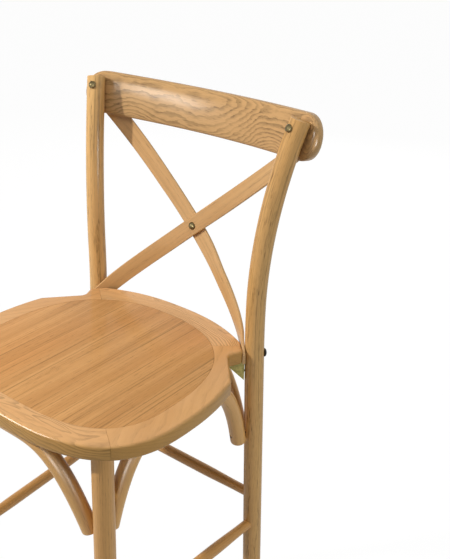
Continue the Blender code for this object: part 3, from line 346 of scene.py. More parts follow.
def slat_route(side, steps):
    """Middle line of a slat whose foot is on this side: a straight foot, then one bent sweep."""
    s = sizes()
    outward, along = corner_axes(side)
    rise = along * math.cos(s.slat_foot_rise) + UP * math.sin(s.slat_foot_rise)
    foot = corner_place(side) - outward * (s.post_radius + s.slat_gap + s.slat_thickness / 2)
    foot.z = s.seat_height - s.slat_foot_drop
    start = foot + rise * s.slat_foot_grip
    top = crest_point(-side * s.slat_top_x, s.slat_tenon - s.crest_width / 2, 0)
    run = top - start
    run.y = -math.tan(s.slat_top_sweep) * run.xz.length
    pulls = (start, start + rise * s.slat_lower_pull, top - run.normalized() * s.slat_upper_pull, top)
    points = [foot - rise * s.slat_width * tail for tail in (2, 1)] + [foot]
    for step in range(steps + 1):
        share = step / steps
        rest = 1 - share
        weights = (rest ** 3, 3 * rest ** 2 * share, 3 * rest * share ** 2, share ** 3)
        points.append(sum((pull * weight for pull, weight in zip(pulls, weights)), Vector()))
    return points


def slat_lean(height):
    """Lean of the slats' faces at a height."""
    s = sizes()
    low = s.seat_height + s.slat_width / 2
    top = crest_point(s.slat_top_x, s.slat_tenon - s.crest_width / 2, 0).z
    return s.slat_top_lean * min(1.0, max(0.0, (height - low) / (top - low)))


def slat_crossing():
    """Where the slats cross, and the rearward direction square to both there."""
    points = slat_route(1, 24)
    for before, after in zip(points, points[1:]):
        if before.x * after.x <= 0:
            centre = before.lerp(after, before.x / (before.x - after.x))
            lean = slat_lean(centre.z)
            return centre, Vector((0, math.cos(lean), -math.sin(lean)))
    raise ValueError("the slats don't reach the middle line")


def arch_point(first, last, top, full, share):
    """Point of an arch from its share of the way from the middle to an end."""
    middle = (first + last) / 2
    return top.lerp(middle, abs(share) ** full) + (last - first) / 2 * share


def arch_specs():
    """Ends, top, fullness and the two legs of every arch."""
    s = sizes()
    end_height = under_seat() - s.arch_height
    top_z = under_seat() - s.arch_radius + s.arch_flat
    leg_gap = s.leg_radius + s.arch_radius - s.arch_cope
    post_gap = s.post_radius + s.arch_radius - s.arch_cope
    legs = {side: leg_axis(side, end_height) for side in SIDES.values()}
    posts = {side: post_axis(side, end_height) for side in SIDES.values()}
    specs = {"front_arch": (legs[-1] + ACROSS * leg_gap, legs[1] - ACROSS * leg_gap,
                            Vector((0, s.front_arch_y, top_z)), s.arch_fullness,
                            "front_leg_left", "front_leg_right"),
             "rear_arch": (posts[-1] + ACROSS * post_gap, posts[1] - ACROSS * post_gap,
                           Vector((0, s.rear_arch_y, top_z)), s.arch_fullness,
                           "rear_post_left", "rear_post_right")}
    leg_step = math.sqrt(leg_gap ** 2 - s.side_arch_inset ** 2)
    post_step = math.sqrt(post_gap ** 2 - s.side_arch_inset ** 2)
    for name, side in SIDES.items():
        front = legs[side] + Vector((-side * s.side_arch_inset, leg_step, 0))
        rear = posts[side] - Vector((side * s.side_arch_inset, post_step, 0))
        top = Vector((side * s.side_arch_x, (front.y + rear.y) / 2, top_z))
        specs["side_arch_" + name] = (front, rear, top, s.side_arch_fullness,
                                      "front_leg_" + name, "rear_post_" + name)
    return specs


def arch_screws(name):
    """Head, aim and reach of an arch's four screws: one into each leg, two up into the seat."""
    s = sizes()
    first, last, top, full, *legs = arch_specs()[name]
    deep = s.arch_radius - s.screw_sink
    end_height = under_seat() - s.arch_height
    reach = (1 - s.arch_screw_rise / (top.z - end_height)) ** (1 / full)
    spread = 2 * s.arch_screw_spread / (last - first).length
    found = []
    for way, leg in zip((-1, 1), legs):
        side = SIDES[leg.split("_")[2]]
        is_front = leg.startswith("front")
        axis, radius = (leg_axis, s.leg_radius) if is_front else (post_axis, s.post_radius)
        place = arch_point(first, last, top, full, way * reach)
        run = axis(side, place.z) - place
        inward = run.normalized()
        found.append((place - inward * deep, -inward, deep + run.length - radius + s.screw_bite))
        under = arch_point(first, last, top, full, way * spread) - UP * deep
        found.append((under, -UP, under_seat() + s.screw_bite - under.z))
    return found


# Plans of the seat

def super_arc(half_width, reach, full, turn):
    """Point of a quarter of a squared oval."""
    swing = turn * math.pi / 2
    return half_width * math.cos(swing) ** (2 / full), reach * math.sin(swing) ** (2 / full)


def filleted(before, corner, after, radius, steps=10):
    """Arc that rounds the corner of a plan outline."""
    corner = Vector(corner)
    inward = (Vector(before) - corner).normalized()
    outward = (Vector(after) - corner).normalized()
    half = inward.angle(outward) / 2
    centre = corner + (inward + outward).normalized() * radius / math.sin(half)
    first = corner + inward * radius / math.tan(half) - centre
    last = corner + outward * radius / math.tan(half) - centre
    return [tuple(centre + first.slerp(last, step / steps) * radius) for step in range(steps + 1)]


def mirrored(half):
    """Whole outline from its right half."""
    return half + [(-x, y) for x, y in reversed(half[1:-1])]


def seat_outline(steps=56):
    """Plan of the seat: full round front, shoulders, notches for the posts, slanted ears, bowed rear."""
    s = sizes()
    half = []
    for step in range(steps + 1):
        x, y = super_arc(s.seat_half_width, s.seat_front_reach, s.seat_front_fullness, 1 - step / steps)
        half.append((x if step else 0.0, s.seat_widest_y - y))
    shoulder = (s.shoulder_x, s.shoulder_y)
    notch = (s.notch_x, s.notch_y)
    outward, along = corner_axes(1)
    ear = corner_place(1) - outward * ear_reach()
    ear_front = (ear - along * s.ear_width / 2).xy
    ear_rear = (ear + along * s.ear_width / 2).xy
    side_steps = 12
    for step in range(1, side_steps):
        share = step / side_steps
        x = s.seat_half_width + (s.shoulder_x - s.seat_half_width) * share ** 2
        half.append((x, s.seat_widest_y + (s.shoulder_y - s.seat_widest_y) * share))
    half += filleted(half[-1], shoulder, notch, s.shoulder_radius)
    half += filleted(shoulder, notch, ear_front, s.notch_radius)
    half.append(tuple(ear_front))
    rear_steps = 32
    for step in range(rear_steps + 1):
        share = 1 - step / rear_steps
        y = s.seat_rear_y - (s.seat_rear_y - ear_rear.y) * share ** s.seat_rear_fullness
        half.append((ear_rear.x * share, y))
    return mirrored(half)


def panel_outline(grow=0.0, steps=56):
    """Plan of the panel, grown all round where it's the opening in the rails."""
    s = sizes()
    half_width = s.panel_half_width + grow
    front, rear = s.panel_front_reach + grow, s.panel_rear_reach + grow
    half = []
    for step in range(steps + 1):
        x, y = super_arc(half_width, front, s.panel_front_fullness, 1 - step / steps)
        half.append((x if step else 0.0, s.seat_widest_y - y))
    for step in range(1, steps + 1):
        x, y = super_arc(half_width, rear, s.panel_rear_fullness, step / steps)
        half.append((x if step < steps else 0.0, s.seat_widest_y + y))
    return mirrored(half)


# Mesh makers

@contextmanager
def reshaped(mesh):
    """Open a mesh for changes and write it back."""
    shape = bmesh.new()
    shape.from_mesh(mesh)
    yield shape
    shape.to_mesh(mesh)
    shape.free()


def loft(name, rings, grains):
    """Closed skin through rings of points; each point keeps its place in the wood."""
    mesh = bpy.data.meshes.new(name)
    with reshaped(mesh) as shape:
        layer = shape.verts.layers.float_vector.new("grain")
        rows = []
        for ring, grain in zip(rings, grains):
            row = []
            for point, place in zip(ring, grain):
                vertex = shape.verts.new(point)
                vertex[layer] = place
                row.append(vertex)
            rows.append(row)
        around = len(rows[0])
        for low, high in zip(rows, rows[1:]):
            for i in range(around):
                j = (i + 1) % around
                shape.faces.new((low[i], low[j], high[j], high[i]))
        shape.faces.new(list(reversed(rows[0])))
        shape.faces.new(rows[-1])
        bmesh.ops.recalc_face_normals(shape, faces=shape.faces)
    return mesh


def eased_ends(points, radii, ease, steps=4):
    """Replace a rod's sharp ends by rounded edges."""
    turns = [math.pi / 2 * step / steps for step in range(steps + 1)]
    rounds = [(ease * (1 - math.cos(turn)), ease * (1 - math.sin(turn))) for turn in turns]
    inward = (points[1] - points[0]).normalized()
    outward = (points[-1] - points[-2]).normalized()
    head = [(points[0] + inward * back, radii[0] - less) for back, less in rounds]
    tail = [(points[-1] - outward * back, radii[-1] - less) for back, less in reversed(rounds)]
    made = head + list(zip(points[1:-1], radii[1:-1])) + tail
    return [point for point, radius in made], [radius for point, radius in made]


def rod(points, radii, log, pith, wood, sides, ease):
    """Round rod along points. Log is where along the timber it was cut, pith how far off its heart."""
    points, radii = eased_ends(points, radii, ease)
    edges = [(index, index + 1) for index in range(len(points) - 1)]
    path = point_mesh("path", points, edges, girth=radii)
    return grown(rod_tree(), path, {"Sides": sides, "Log": log, "Pith Across": pith[0],
                                    "Pith Through": pith[1], "Material": wood})


def plain_mesh(temporary):
    """Evaluate an object to a plain welded mesh and remove the object."""
    bpy.context.scene.collection.objects.link(temporary)
    graph = bpy.context.evaluated_depsgraph_get()
    mesh = bpy.data.meshes.new_from_object(temporary.evaluated_get(graph))
    bpy.data.objects.remove(temporary, do_unlink=True)
    with reshaped(mesh) as shape:
        bmesh.ops.remove_doubles(shape, verts=shape.verts, dist=1e-6)
        bmesh.ops.recalc_face_normals(shape, faces=shape.faces)
    return mesh


def plate(outline, low, high):
    """Flat board of one closed outline."""
    data = bpy.data.curves.new("plate", "CURVE")
    data.dimensions = "2D"
    data.fill_mode = "BOTH"
    data.extrude = (high - low) / 2
    spline = data.splines.new("POLY")
    spline.points.add(len(outline) - 1)
    for spot, (x, y) in zip(spline.points, outline):
        spot.co = (x, y, 0, 1)
    spline.use_cyclic_u = True
    mesh = plain_mesh(bpy.data.objects.new("plate", data))
    mesh.transform(Matrix.Translation((0, 0, (low + high) / 2)))
    flat = math.radians(0.05)
    with reshaped(mesh) as shape:
        bmesh.ops.dissolve_limit(shape, angle_limit=flat, verts=shape.verts, edges=shape.edges)
    return mesh


def rounded_rim(mesh, width, segments):
    """Round a board's edges."""
    board = bpy.data.objects.new("board", mesh)
    ease = board.modifiers.new("rim", "BEVEL")
    ease.width = width
    ease.segments = segments
    ease.limit_method = "ANGLE"
    ease.angle_limit = math.radians(60)
    return plain_mesh(board)


def cut(mesh, point, normal):
    """Saw a board on a plane and keep the side that the normal points away from."""
    with reshaped(mesh) as shape:
        geometry = shape.verts[:] + shape.edges[:] + shape.faces[:]
        made = bmesh.ops.bisect_plane(shape, geom=geometry, plane_co=point, plane_no=normal,
                                      clear_outer=True)
        edges = [part for part in made["geom_cut"] if isinstance(part, bmesh.types.BMEdge)]
        bmesh.ops.holes_fill(shape, edges=edges, sides=0)
        bmesh.ops.recalc_face_normals(shape, faces=shape.faces)


def straight_grain(mesh, along, across, log, pith):
    """Store each point's place in straight timber."""
    layer = mesh.attributes.new("grain", "FLOAT_VECTOR", "POINT")
    for vertex, value in zip(mesh.vertices, layer.data):
        point = vertex.co
        value.vector = (log + point.dot(along), point.dot(across) + pith[0], point.z + pith[1])


def curved_grain(mesh, log, pith, middle, arching):
    """Store each point's place in a rail that runs round the panel, its rings arched from its middle."""
    blunt, spread = 0.03, 0.1
    loop = [Vector(point) for point in panel_outline()]
    runs = [(after - before).length for before, after in zip(loop, loop[1:] + loop[:1])]
    around = sum(runs)

    def nearest(spot):
        return min(range(len(loop)), key=lambda index: (loop[index] - spot).length_squared)

    start = sum(runs[:nearest(middle)])
    layer = mesh.attributes.new("grain", "FLOAT_VECTOR", "POINT")
    for vertex, value in zip(mesh.vertices, layer.data):
        spot = vertex.co.xy
        near = nearest(spot)
        ahead = (loop[(near + 1) % len(loop)] - loop[near - 1]).normalized()
        off = spot - loop[near]
        outward = ahead.y * off.x - ahead.x * off.y
        along = (sum(runs[:near]) + off.dot(ahead) - start + around / 2) % around - around / 2
        depth = vertex.co.z - sizes().seat_height
        swell = arching * math.tanh(math.hypot(along, blunt) / spread)
        value.vector = (log + along, outward + pith[0], depth + pith[1] + swell)


def mark_shaded_rim(mesh, top):
    """Store how far round the rim each point is: 0 on the top face, 1 below its rounded edge. This is
    the mask of the painted shade on the seat's side faces.
    """
    depth = sizes().seat_rim
    layer = mesh.attributes.new("edge", "FLOAT", "POINT")
    for vertex, value in zip(mesh.vertices, layer.data):
        value.value = min(1.0, max(0.0, (top - vertex.co.z) / depth))


def add_piece(name, mesh, material, nodes, sharp=35):
    """Put a finished piece in place of its solids."""
    mesh.transform(Matrix.Translation(MIDDLE))
    mesh.name = name
    mesh.materials.clear()
    mesh.materials.append(material)
    mesh.shade_smooth()
    mesh.set_sharp_from_angle(angle=math.radians(sharp))
    piece = bpy.data.objects.new(name, mesh)
    bpy.context.scene.collection.objects.link(piece)
    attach(piece, "root")
    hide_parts(*nodes)


# Geometry Nodes makers

def feed(tree, socket, value):
    """Give an input a plain value, or link another node's output to it."""
    if isinstance(value, bpy.types.NodeSocket):
        tree.links.new(value, socket)
    else:
        socket.default_value = value


def node(tree, kind, inputs=None, **settings):
    """New node with its settings and what goes into it."""
    made = tree.nodes.new(kind)
    for name, value in settings.items():
        setattr(made, name, value)
    for name, value in (inputs or {}).items():
        feed(tree, made.inputs[name], value)
    return made


def maths(tree, operation, *values):
    """Result of a sum on numbers or sockets."""
    return node(tree, "ShaderNodeMath", dict(enumerate(values)), operation=operation).outputs[0]


def combined(tree, *values):
    """Vector from three numbers or sockets."""
    return node(tree, "ShaderNodeCombineXYZ", dict(enumerate(values))).outputs[0]


def separated(tree, vector):
    """The three numbers of a vector."""
    return node(tree, "ShaderNodeSeparateXYZ", {0: vector}).outputs


def growing_tree(name, numbers, counts=()):
    """New Geometry Nodes tree with a named input for each size, and what comes in by them."""
    tree = bpy.data.node_groups.new(name, "GeometryNodeTree")
    kinds = {"Points": "Geometry", **dict.fromkeys(numbers, "Float"), **dict.fromkeys(counts, "Int"),
             "Material": "Material"}
    for label, kind in kinds.items():
        tree.interface.new_socket(label, in_out="INPUT", socket_type="NodeSocket" + kind)
    tree.interface.new_socket("Mesh", in_out="OUTPUT", socket_type="NodeSocketGeometry")
    return tree, node(tree, "NodeGroupInput").outputs


def close_tree(tree, geometry, start):
    """Realize what a tree made, give it its material and put it out."""
    real = node(tree, "GeometryNodeRealizeInstances", {"Geometry": geometry}).outputs["Geometry"]
    coat = node(tree, "GeometryNodeSetMaterial", {"Geometry": real, "Material": start["Material"]})
    node(tree, "NodeGroupOutput", {"Mesh": coat.outputs["Geometry"]})
    return tree


def point_mesh(name, places, edges=(), **values):
    """Mesh of bare points with named values at each."""
    mesh = bpy.data.meshes.new(name)
    mesh.from_pydata([tuple(place) for place in places], list(edges), [])
    for label, numbers in values.items():
        is_vector = isinstance(numbers[0], Vector)
        layer = mesh.attributes.new(label, "FLOAT_VECTOR" if is_vector else "FLOAT", "POINT")
        for item, number in zip(layer.data, numbers):
            setattr(item, "vector" if is_vector else "value", number)
    return mesh


def grown(tree, points, values):
    """Run a tree on a mesh of points and return the plain mesh that it makes."""
    holder = bpy.data.objects.new(tree.name, points)
    maker = holder.modifiers.new(tree.name, "NODES")
    maker.node_group = tree
    for socket in tree.interface.items_tree:
        if socket.in_out == "INPUT" and socket.name in values:
            maker[socket.identifier] = values[socket.name]
    mesh = plain_mesh(holder)
    for label in ("girth", "along", "spot", "aim", "reach"):
        if label in mesh.attributes:
            mesh.attributes.remove(mesh.attributes[label])
    return mesh


def stored(tree, geometry, label, kind, value):
    """Geometry with a named value kept at each of its points."""
    inputs = {"Geometry": geometry, "Name": label, "Value": value}
    made = node(tree, "GeometryNodeStoreNamedAttribute", inputs, data_type=kind, domain="POINT")
    return made.outputs["Geometry"]


def named(tree, label, kind):
    """Value kept at each point under a name."""
    made = node(tree, "GeometryNodeInputNamedAttribute", {"Name": label}, data_type=kind)
    return made.outputs["Attribute"]


def moved(tree, geometry, way, vector):
    """Geometry moved by its Translation or stretched by its Scale."""
    return node(tree, "GeometryNodeTransform", {"Geometry": geometry, way: vector}).outputs["Geometry"]


def joined(tree, *geometry):
    """Several shapes as one."""
    made = node(tree, "GeometryNodeJoinGeometry")
    for part in reversed(geometry):
        feed(tree, made.inputs["Geometry"], part)
    return made.outputs["Geometry"]


def copies(tree, start, shape, **inputs):
    """Instances of a shape on the points that come in."""
    inputs = {"Points": start["Points"], "Instance": shape, **inputs}
    return node(tree, "GeometryNodeInstanceOnPoints", inputs).outputs["Instances"]


def rod_tree():
    """Round rod swept along a path: its girth is on the path, its grain is its place in the timber."""
    name = "round rod"
    if name in bpy.data.node_groups:
        return bpy.data.node_groups[name]
    tree, start = growing_tree(name, ("Log", "Pith Across", "Pith Through"), ("Sides",))
    path = node(tree, "GeometryNodeMeshToCurve", {"Mesh": start["Points"]}).outputs["Curve"]
    travelled = node(tree, "GeometryNodeSplineParameter").outputs["Length"]
    route = stored(tree, path, "along", "FLOAT", travelled)
    inputs = {"Radius": 1, "Resolution": start["Sides"]}
    circle = node(tree, "GeometryNodeCurvePrimitiveCircle", inputs, mode="RADIUS").outputs["Curve"]
    spot = node(tree, "GeometryNodeInputPosition").outputs["Position"]
    section = stored(tree, circle, "spot", "FLOAT_VECTOR", spot)
    girth = named(tree, "girth", "FLOAT")
    inputs = {"Curve": route, "Profile Curve": section, "Scale": girth, "Fill Caps": True}
    sweep = node(tree, "GeometryNodeCurveToMesh", inputs).outputs["Mesh"]
    around = separated(tree, named(tree, "spot", "FLOAT_VECTOR"))
    along = maths(tree, "ADD", named(tree, "along", "FLOAT"), start["Log"])
    across = maths(tree, "MULTIPLY_ADD", around[0], girth, start["Pith Across"])
    through = maths(tree, "MULTIPLY_ADD", around[1], girth, start["Pith Through"])
    place = combined(tree, along, across, through)
    return close_tree(tree, stored(tree, sweep, "grain", "FLOAT_VECTOR", place), start)


def domed_head(tree, start):
    """Half round head, flat below, on z = 0."""
    inputs = {"Segments": 32, "Rings": 20, "Radius": 1}
    ball = node(tree, "GeometryNodeMeshUVSphere", inputs).outputs["Mesh"]
    spot = separated(tree, node(tree, "GeometryNodeInputPosition").outputs["Position"])
    level = combined(tree, spot[0], spot[1], maths(tree, "MAXIMUM", spot[2], 0.0))
    inputs = {"Geometry": ball, "Position": level}
    dome = node(tree, "GeometryNodeSetPosition", inputs).outputs["Geometry"]
    radius = start["Head Radius"]
    return moved(tree, dome, "Scale", combined(tree, radius, radius, start["Head Height"]))


def countersunk_head(tree, start):
    """Cone head below z = 0 with a cross recess for the driver."""
    height, width, span = start["Head Height"], start["Recess Width"], start["Recess Length"]
    inputs = {"Vertices": 24, "Depth": height,
              "Radius Top": start["Head Radius"], "Radius Bottom": start["Shank Radius"]}
    cone = node(tree, "GeometryNodeMeshCone", inputs).outputs["Mesh"]
    sunk = combined(tree, 0.0, 0.0, maths(tree, "MULTIPLY", height, -1.0))
    head = moved(tree, cone, "Translation", sunk)
    recess = node(tree, "GeometryNodeMeshBoolean", {"Mesh 1": head},
                  operation="DIFFERENCE", solver="EXACT")
    for size in (combined(tree, span, width, height), combined(tree, width, span, height)):
        bar = node(tree, "GeometryNodeMeshCube", {"Size": size})
        feed(tree, recess.inputs["Mesh 2"], bar.outputs["Mesh"])
    return recess.outputs["Mesh"]


def fastener_tree(name, head_maker, *sockets):
    """Fasteners on points: a head at each point and a shank against its aim, as long as its reach."""
    if name in bpy.data.node_groups:
        return bpy.data.node_groups[name]
    sockets = ("Head Radius", "Head Height", "Shank Radius", "Shank Start", *sockets)
    tree, start = growing_tree(name, sockets)
    aim = named(tree, "aim", "FLOAT_VECTOR")
    turn = node(tree, "FunctionNodeAlignRotationToVector", {"Vector": aim}, axis="Z").outputs["Rotation"]
    heads = copies(tree, start, head_maker(tree, start), Rotation=turn)
    inputs = {"Vertices": 16, "Depth": 1, "Radius": start["Shank Radius"]}
    shank = node(tree, "GeometryNodeMeshCylinder", inputs).outputs["Mesh"]
    below = moved(tree, shank, "Translation", combined(tree, 0.0, 0.0, -0.5))
    run = maths(tree, "SUBTRACT", named(tree, "reach", "FLOAT"), start["Shank Start"])
    shanks = copies(tree, start, below, Rotation=turn, Scale=combined(tree, 1.0, 1.0, run))
    sunk = combined(tree, 0.0, 0.0, maths(tree, "MULTIPLY", start["Shank Start"], -1.0))
    inputs = {"Instances": shanks, "Translation": sunk, "Local Space": True}
    shanks = node(tree, "GeometryNodeTranslateInstances", inputs).outputs["Instances"]
    return close_tree(tree, joined(tree, heads, shanks), start)


def glide_tree():
    """Foot glides on points: a disc with an eased lower edge and its pin above."""
    name = "foot glides"
    if name in bpy.data.node_groups:
        return bpy.data.node_groups[name]
    tree, start = growing_tree(name, ("Radius", "Height", "Ease", "Pin Radius", "Pin Length"))
    radius, height, ease, pin = (start[label] for label in ("Radius", "Height", "Ease", "Pin Radius"))
    parts = []
    for top, bottom, depth, low in ((radius, maths(tree, "SUBTRACT", radius, ease), ease, 0.0),
                                    (radius, radius, maths(tree, "SUBTRACT", height, ease), ease),
                                    (pin, pin, start["Pin Length"], height)):
        inputs = {"Vertices": 40, "Radius Top": top, "Radius Bottom": bottom, "Depth": depth}
        ring = node(tree, "GeometryNodeMeshCone", inputs).outputs["Mesh"]
        parts.append(moved(tree, ring, "Translation", combined(tree, 0.0, 0.0, low)))
    return close_tree(tree, copies(tree, start, joined(tree, *parts)), start)


def carved(mesh, cutter_mesh):
    """Take the shape of one mesh out of another."""
    cutter = bpy.data.objects.new("cutter", cutter_mesh)
    bpy.context.scene.collection.objects.link(cutter)
    piece = bpy.data.objects.new("carved", mesh)
    hole = piece.modifiers.new("hole", "BOOLEAN")
    hole.object = cutter
    hole.solver = "EXACT"
    made = plain_mesh(piece)
    bpy.data.objects.remove(cutter, do_unlink=True)
    return made


def drilled(mesh, holes, radius, depth):
    """Cut round holes into a piece; each is a place on its surface and a direction into it."""
    tree = KDTree(len(mesh.vertices))
    kept = [value.vector.copy() for value in mesh.attributes["grain"].data]
    for vertex in mesh.vertices:
        tree.insert(vertex.co, vertex.index)
    tree.balance()
    bits = bpy.data.meshes.new("holes")
    with reshaped(bits) as shape:
        for place, direction in holes:
            turn = direction.to_track_quat("Z", "Y").to_matrix().to_4x4()
            bmesh.ops.create_cone(shape, cap_ends=True, segments=24, radius1=radius, radius2=radius,
                                  depth=2 * depth, matrix=Matrix.Translation(place) @ turn)
    made = carved(mesh, bits)
    if "grain" in made.attributes:
        made.attributes.remove(made.attributes["grain"])
    layer = made.attributes.new("grain", "FLOAT_VECTOR", "POINT")
    for vertex, value in zip(made.vertices, layer.data):
        value.vector = kept[tree.find(vertex.co)[1]]
    return made


# Finishes

def new_material(name):
    """New material with its nodes and its shader."""
    material = bpy.data.materials.new(name)
    material.use_nodes = True
    return material, material.node_tree, material.node_tree.nodes["Principled BSDF"]


def shader_group(name, place, numbers, masks):
    """New shader group: a place and some numbers go in, masks come out."""
    tree = bpy.data.node_groups.new(name, "ShaderNodeTree")
    face = tree.interface
    face.new_socket(place, in_out="INPUT", socket_type="NodeSocketVector")
    for label, default in numbers.items():
        face.new_socket(label, in_out="INPUT", socket_type="NodeSocketFloat").default_value = default
    for label in masks:
        face.new_socket(label, in_out="OUTPUT", socket_type="NodeSocketFloat")
    return tree, node(tree, "NodeGroupInput").outputs


def stretched_noise(tree, place, stretch, detail=2.0, roughness=0.5):
    """Noise in the wood's own space, stretched along the grain."""
    place = node(tree, "ShaderNodeVectorMath", {0: place, 1: stretch}, operation="MULTIPLY").outputs[0]
    inputs = {"Vector": place, "Scale": 1.0, "Detail": detail, "Roughness": roughness}
    return node(tree, "ShaderNodeTexNoise", inputs).outputs["Fac"]


def band(tree, value, low, high, out_low=0.0, out_high=1.0):
    """Smooth step of a value between two bounds."""
    inputs = {"Value": value, "From Min": low, "From Max": high, "To Min": out_low, "To Max": out_high}
    return node(tree, "ShaderNodeMapRange", inputs, interpolation_type="SMOOTHSTEP").outputs["Result"]


def oak_figure_group():
    """Growth rings, streaks, fine lines and pores of oak, in the wood's own space."""
    name = "oak figure"
    if name in bpy.data.node_groups:
        return bpy.data.node_groups[name]
    numbers = {"Ring Spacing": 0.003, "Waviness": 0.006, "Wave Length": 6.0, "Wave Width": 26.0,
               "Early Wood": 0.48}
    masks = ("Rings", "Streaks", "Lines", "Pores", "Blush")
    tree, start = shader_group(name, "Grain", numbers, masks)
    grain = start["Grain"]

    def noise(*stretch, detail=2.0, roughness=0.5):
        return stretched_noise(tree, grain, stretch, detail, roughness)

    wave_scale = combined(tree, start["Wave Length"], start["Wave Width"], start["Wave Width"])
    wave = maths(tree, "SUBTRACT", stretched_noise(tree, grain, wave_scale), 0.5)
    ragged = maths(tree, "SUBTRACT", noise(60.0, 420.0, 420.0), 0.5)
    ragged_depth = 0.0012
    shift = maths(tree, "ADD", maths(tree, "MULTIPLY", wave, start["Waviness"]),
                  maths(tree, "MULTIPLY", ragged, ragged_depth))
    place = separated(tree, grain)
    squares = [maths(tree, "POWER", offset, 2.0) for offset in (place[1], place[2])]
    radius = maths(tree, "ADD", maths(tree, "SQRT", maths(tree, "ADD", *squares)), shift)
    year = maths(tree, "FRACT", maths(tree, "DIVIDE", radius, start["Ring Spacing"]))
    rise = band(tree, year, start["Early Wood"], 0.86)
    fall = band(tree, year, 0.91, 1.0, 1.0, 0.0)
    strength = band(tree, noise(9.0, 70.0, 70.0), 0.30, 0.62, 0.35, 1.0)
    rings = maths(tree, "MULTIPLY", maths(tree, "MULTIPLY", rise, fall), strength)
    pores = band(tree, noise(60.0, 1300.0, 1300.0, detail=1.0), 0.54, 0.68)
    smooth_share = 0.25
    density = maths(tree, "ADD", maths(tree, "MULTIPLY", rings, 1 - smooth_share), smooth_share)
    node(tree, "NodeGroupOutput", {
        "Rings": rings,
        "Streaks": band(tree, noise(1.6, 70.0, 70.0, detail=5.0, roughness=0.62), 0.32, 0.68),
        "Lines": band(tree, noise(3.2, 340.0, 340.0), 0.56, 0.72),
        "Pores": maths(tree, "MULTIPLY", pores, density),
        "Blush": band(tree, noise(2.4, 11.0, 11.0, detail=1.0), 0.38, 0.66)})
    return tree


def tinted(tree, factor, first, second, blend="MIX"):
    """Mix two colours; either may be a plain colour or a socket."""
    made = node(tree, "ShaderNodeMix", {"Factor": factor}, data_type="RGBA", blend_type=blend)
    for socket, value in ((made.inputs[6], first), (made.inputs[7], second)):
        feed(tree, socket, value if isinstance(value, bpy.types.NodeSocket) else (*value, 1))
    return made.outputs[2]


def scaled(tint, factor):
    """Colour times one number or one number for each channel."""
    factors = factor if isinstance(factor, tuple) else (factor,) * 3
    return tuple(channel * share for channel, share in zip(tint, factors))


def bumped(tree, shader, height, strength, distance, invert=False):
    """Raise a finish, or sink it, by a mask."""
    inputs = {"Strength": strength, "Distance": distance, "Height": height}
    bump = node(tree, "ShaderNodeBump", inputs, invert=invert)
    feed(tree, shader.inputs["Normal"], bump.outputs["Normal"])


class Wood(NamedTuple):
    """Look of an oak piece: its growth rings, how strongly each mark shows, its tone and its lacquer."""
    spacing: float
    waviness: float
    wave_length: float
    wave_width: float
    ring: float
    streak: float
    line: float
    pore: float
    tone: tuple
    blush: float = 0.4
    early: float = 0.48
    rough: float = 0.33
    coat: float = 0.5
    coat_rough: float = 0.22
    # Whether the seat's side faces get the painted shade of the rim colour.
    shaded_rim: bool = False


# Turned oak and bent oak are one wood. The darker tone of the turned oak on the legs and stretchers is
# painted shade for the shade under the seat. The lighter tone of the bent oak on the arches is painted
# light for the sheen and light on them.
TURNED = Wood(spacing=0.0034, waviness=0.008, wave_length=3.0, wave_width=40.0,
              ring=0.16, streak=0.25, line=0.15, pore=0.55, tone=(0.90, 0.85, 0.65),
              rough=0.31, coat=0.9, coat_rough=0.38)
# The two posts are one wood. The left post's tone is painted lighter, standing in for the stronger light
# that falls on it.
POST = Wood(spacing=0.0030, waviness=0.010, wave_length=5.0, wave_width=40.0,
            ring=0.32, streak=0.25, line=0.70, pore=0.95, tone=(1.11, 1.22, 1.21), rough=0.31)
OAKS = {
    "turned oak": TURNED,
    # Painted light: the bent oak's tone is lighter than the turned oak's.
    "bent oak": TURNED._replace(ring=0.12, line=0.12, pore=0.50, tone=(1.03, 1.02, 0.82)),
    "left post oak": POST,
    # Painted shade: the right post's tone is darker than the left post's.
    "right post oak": POST._replace(tone=(0.98, 1.02, 0.93)),
    "flat sawn oak": Wood(spacing=0.00125, waviness=0.0052, wave_length=11.0, wave_width=24.0,
                          ring=0.72, streak=0.30, line=0.05, pore=0.60, tone=(0.86, 0.93, 0.99),
                          early=0.30),
    "bent slat oak": Wood(spacing=0.0026, waviness=0.007, wave_length=4.0, wave_width=40.0,
                          ring=0.16, streak=0.45, line=0.25, pore=0.50, tone=(0.94, 1.04, 1.16)),
    "seat rail oak": Wood(spacing=0.0040, waviness=0.018, wave_length=16.0, wave_width=34.0,
                          ring=0.60, streak=0.25, line=0.08, pore=0.45, tone=(1.10, 1.12, 1.18),
                          early=0.30, shaded_rim=True),
    "side rail oak": Wood(spacing=0.0046, waviness=0.012, wave_length=9.0, wave_width=30.0,
                          ring=0.16, streak=0.35, line=0.0, pore=0.15, tone=(1.03, 1.02, 1.03),
                          shaded_rim=True),
    "seat panel oak": Wood(spacing=0.0046, waviness=0.006, wave_length=1.6, wave_width=30.0,
                           ring=0.10, streak=0.62, line=0.75, pore=0.60, tone=(0.96, 0.91, 0.85),
                           blush=0.75, rough=0.45, coat=0.2),
}


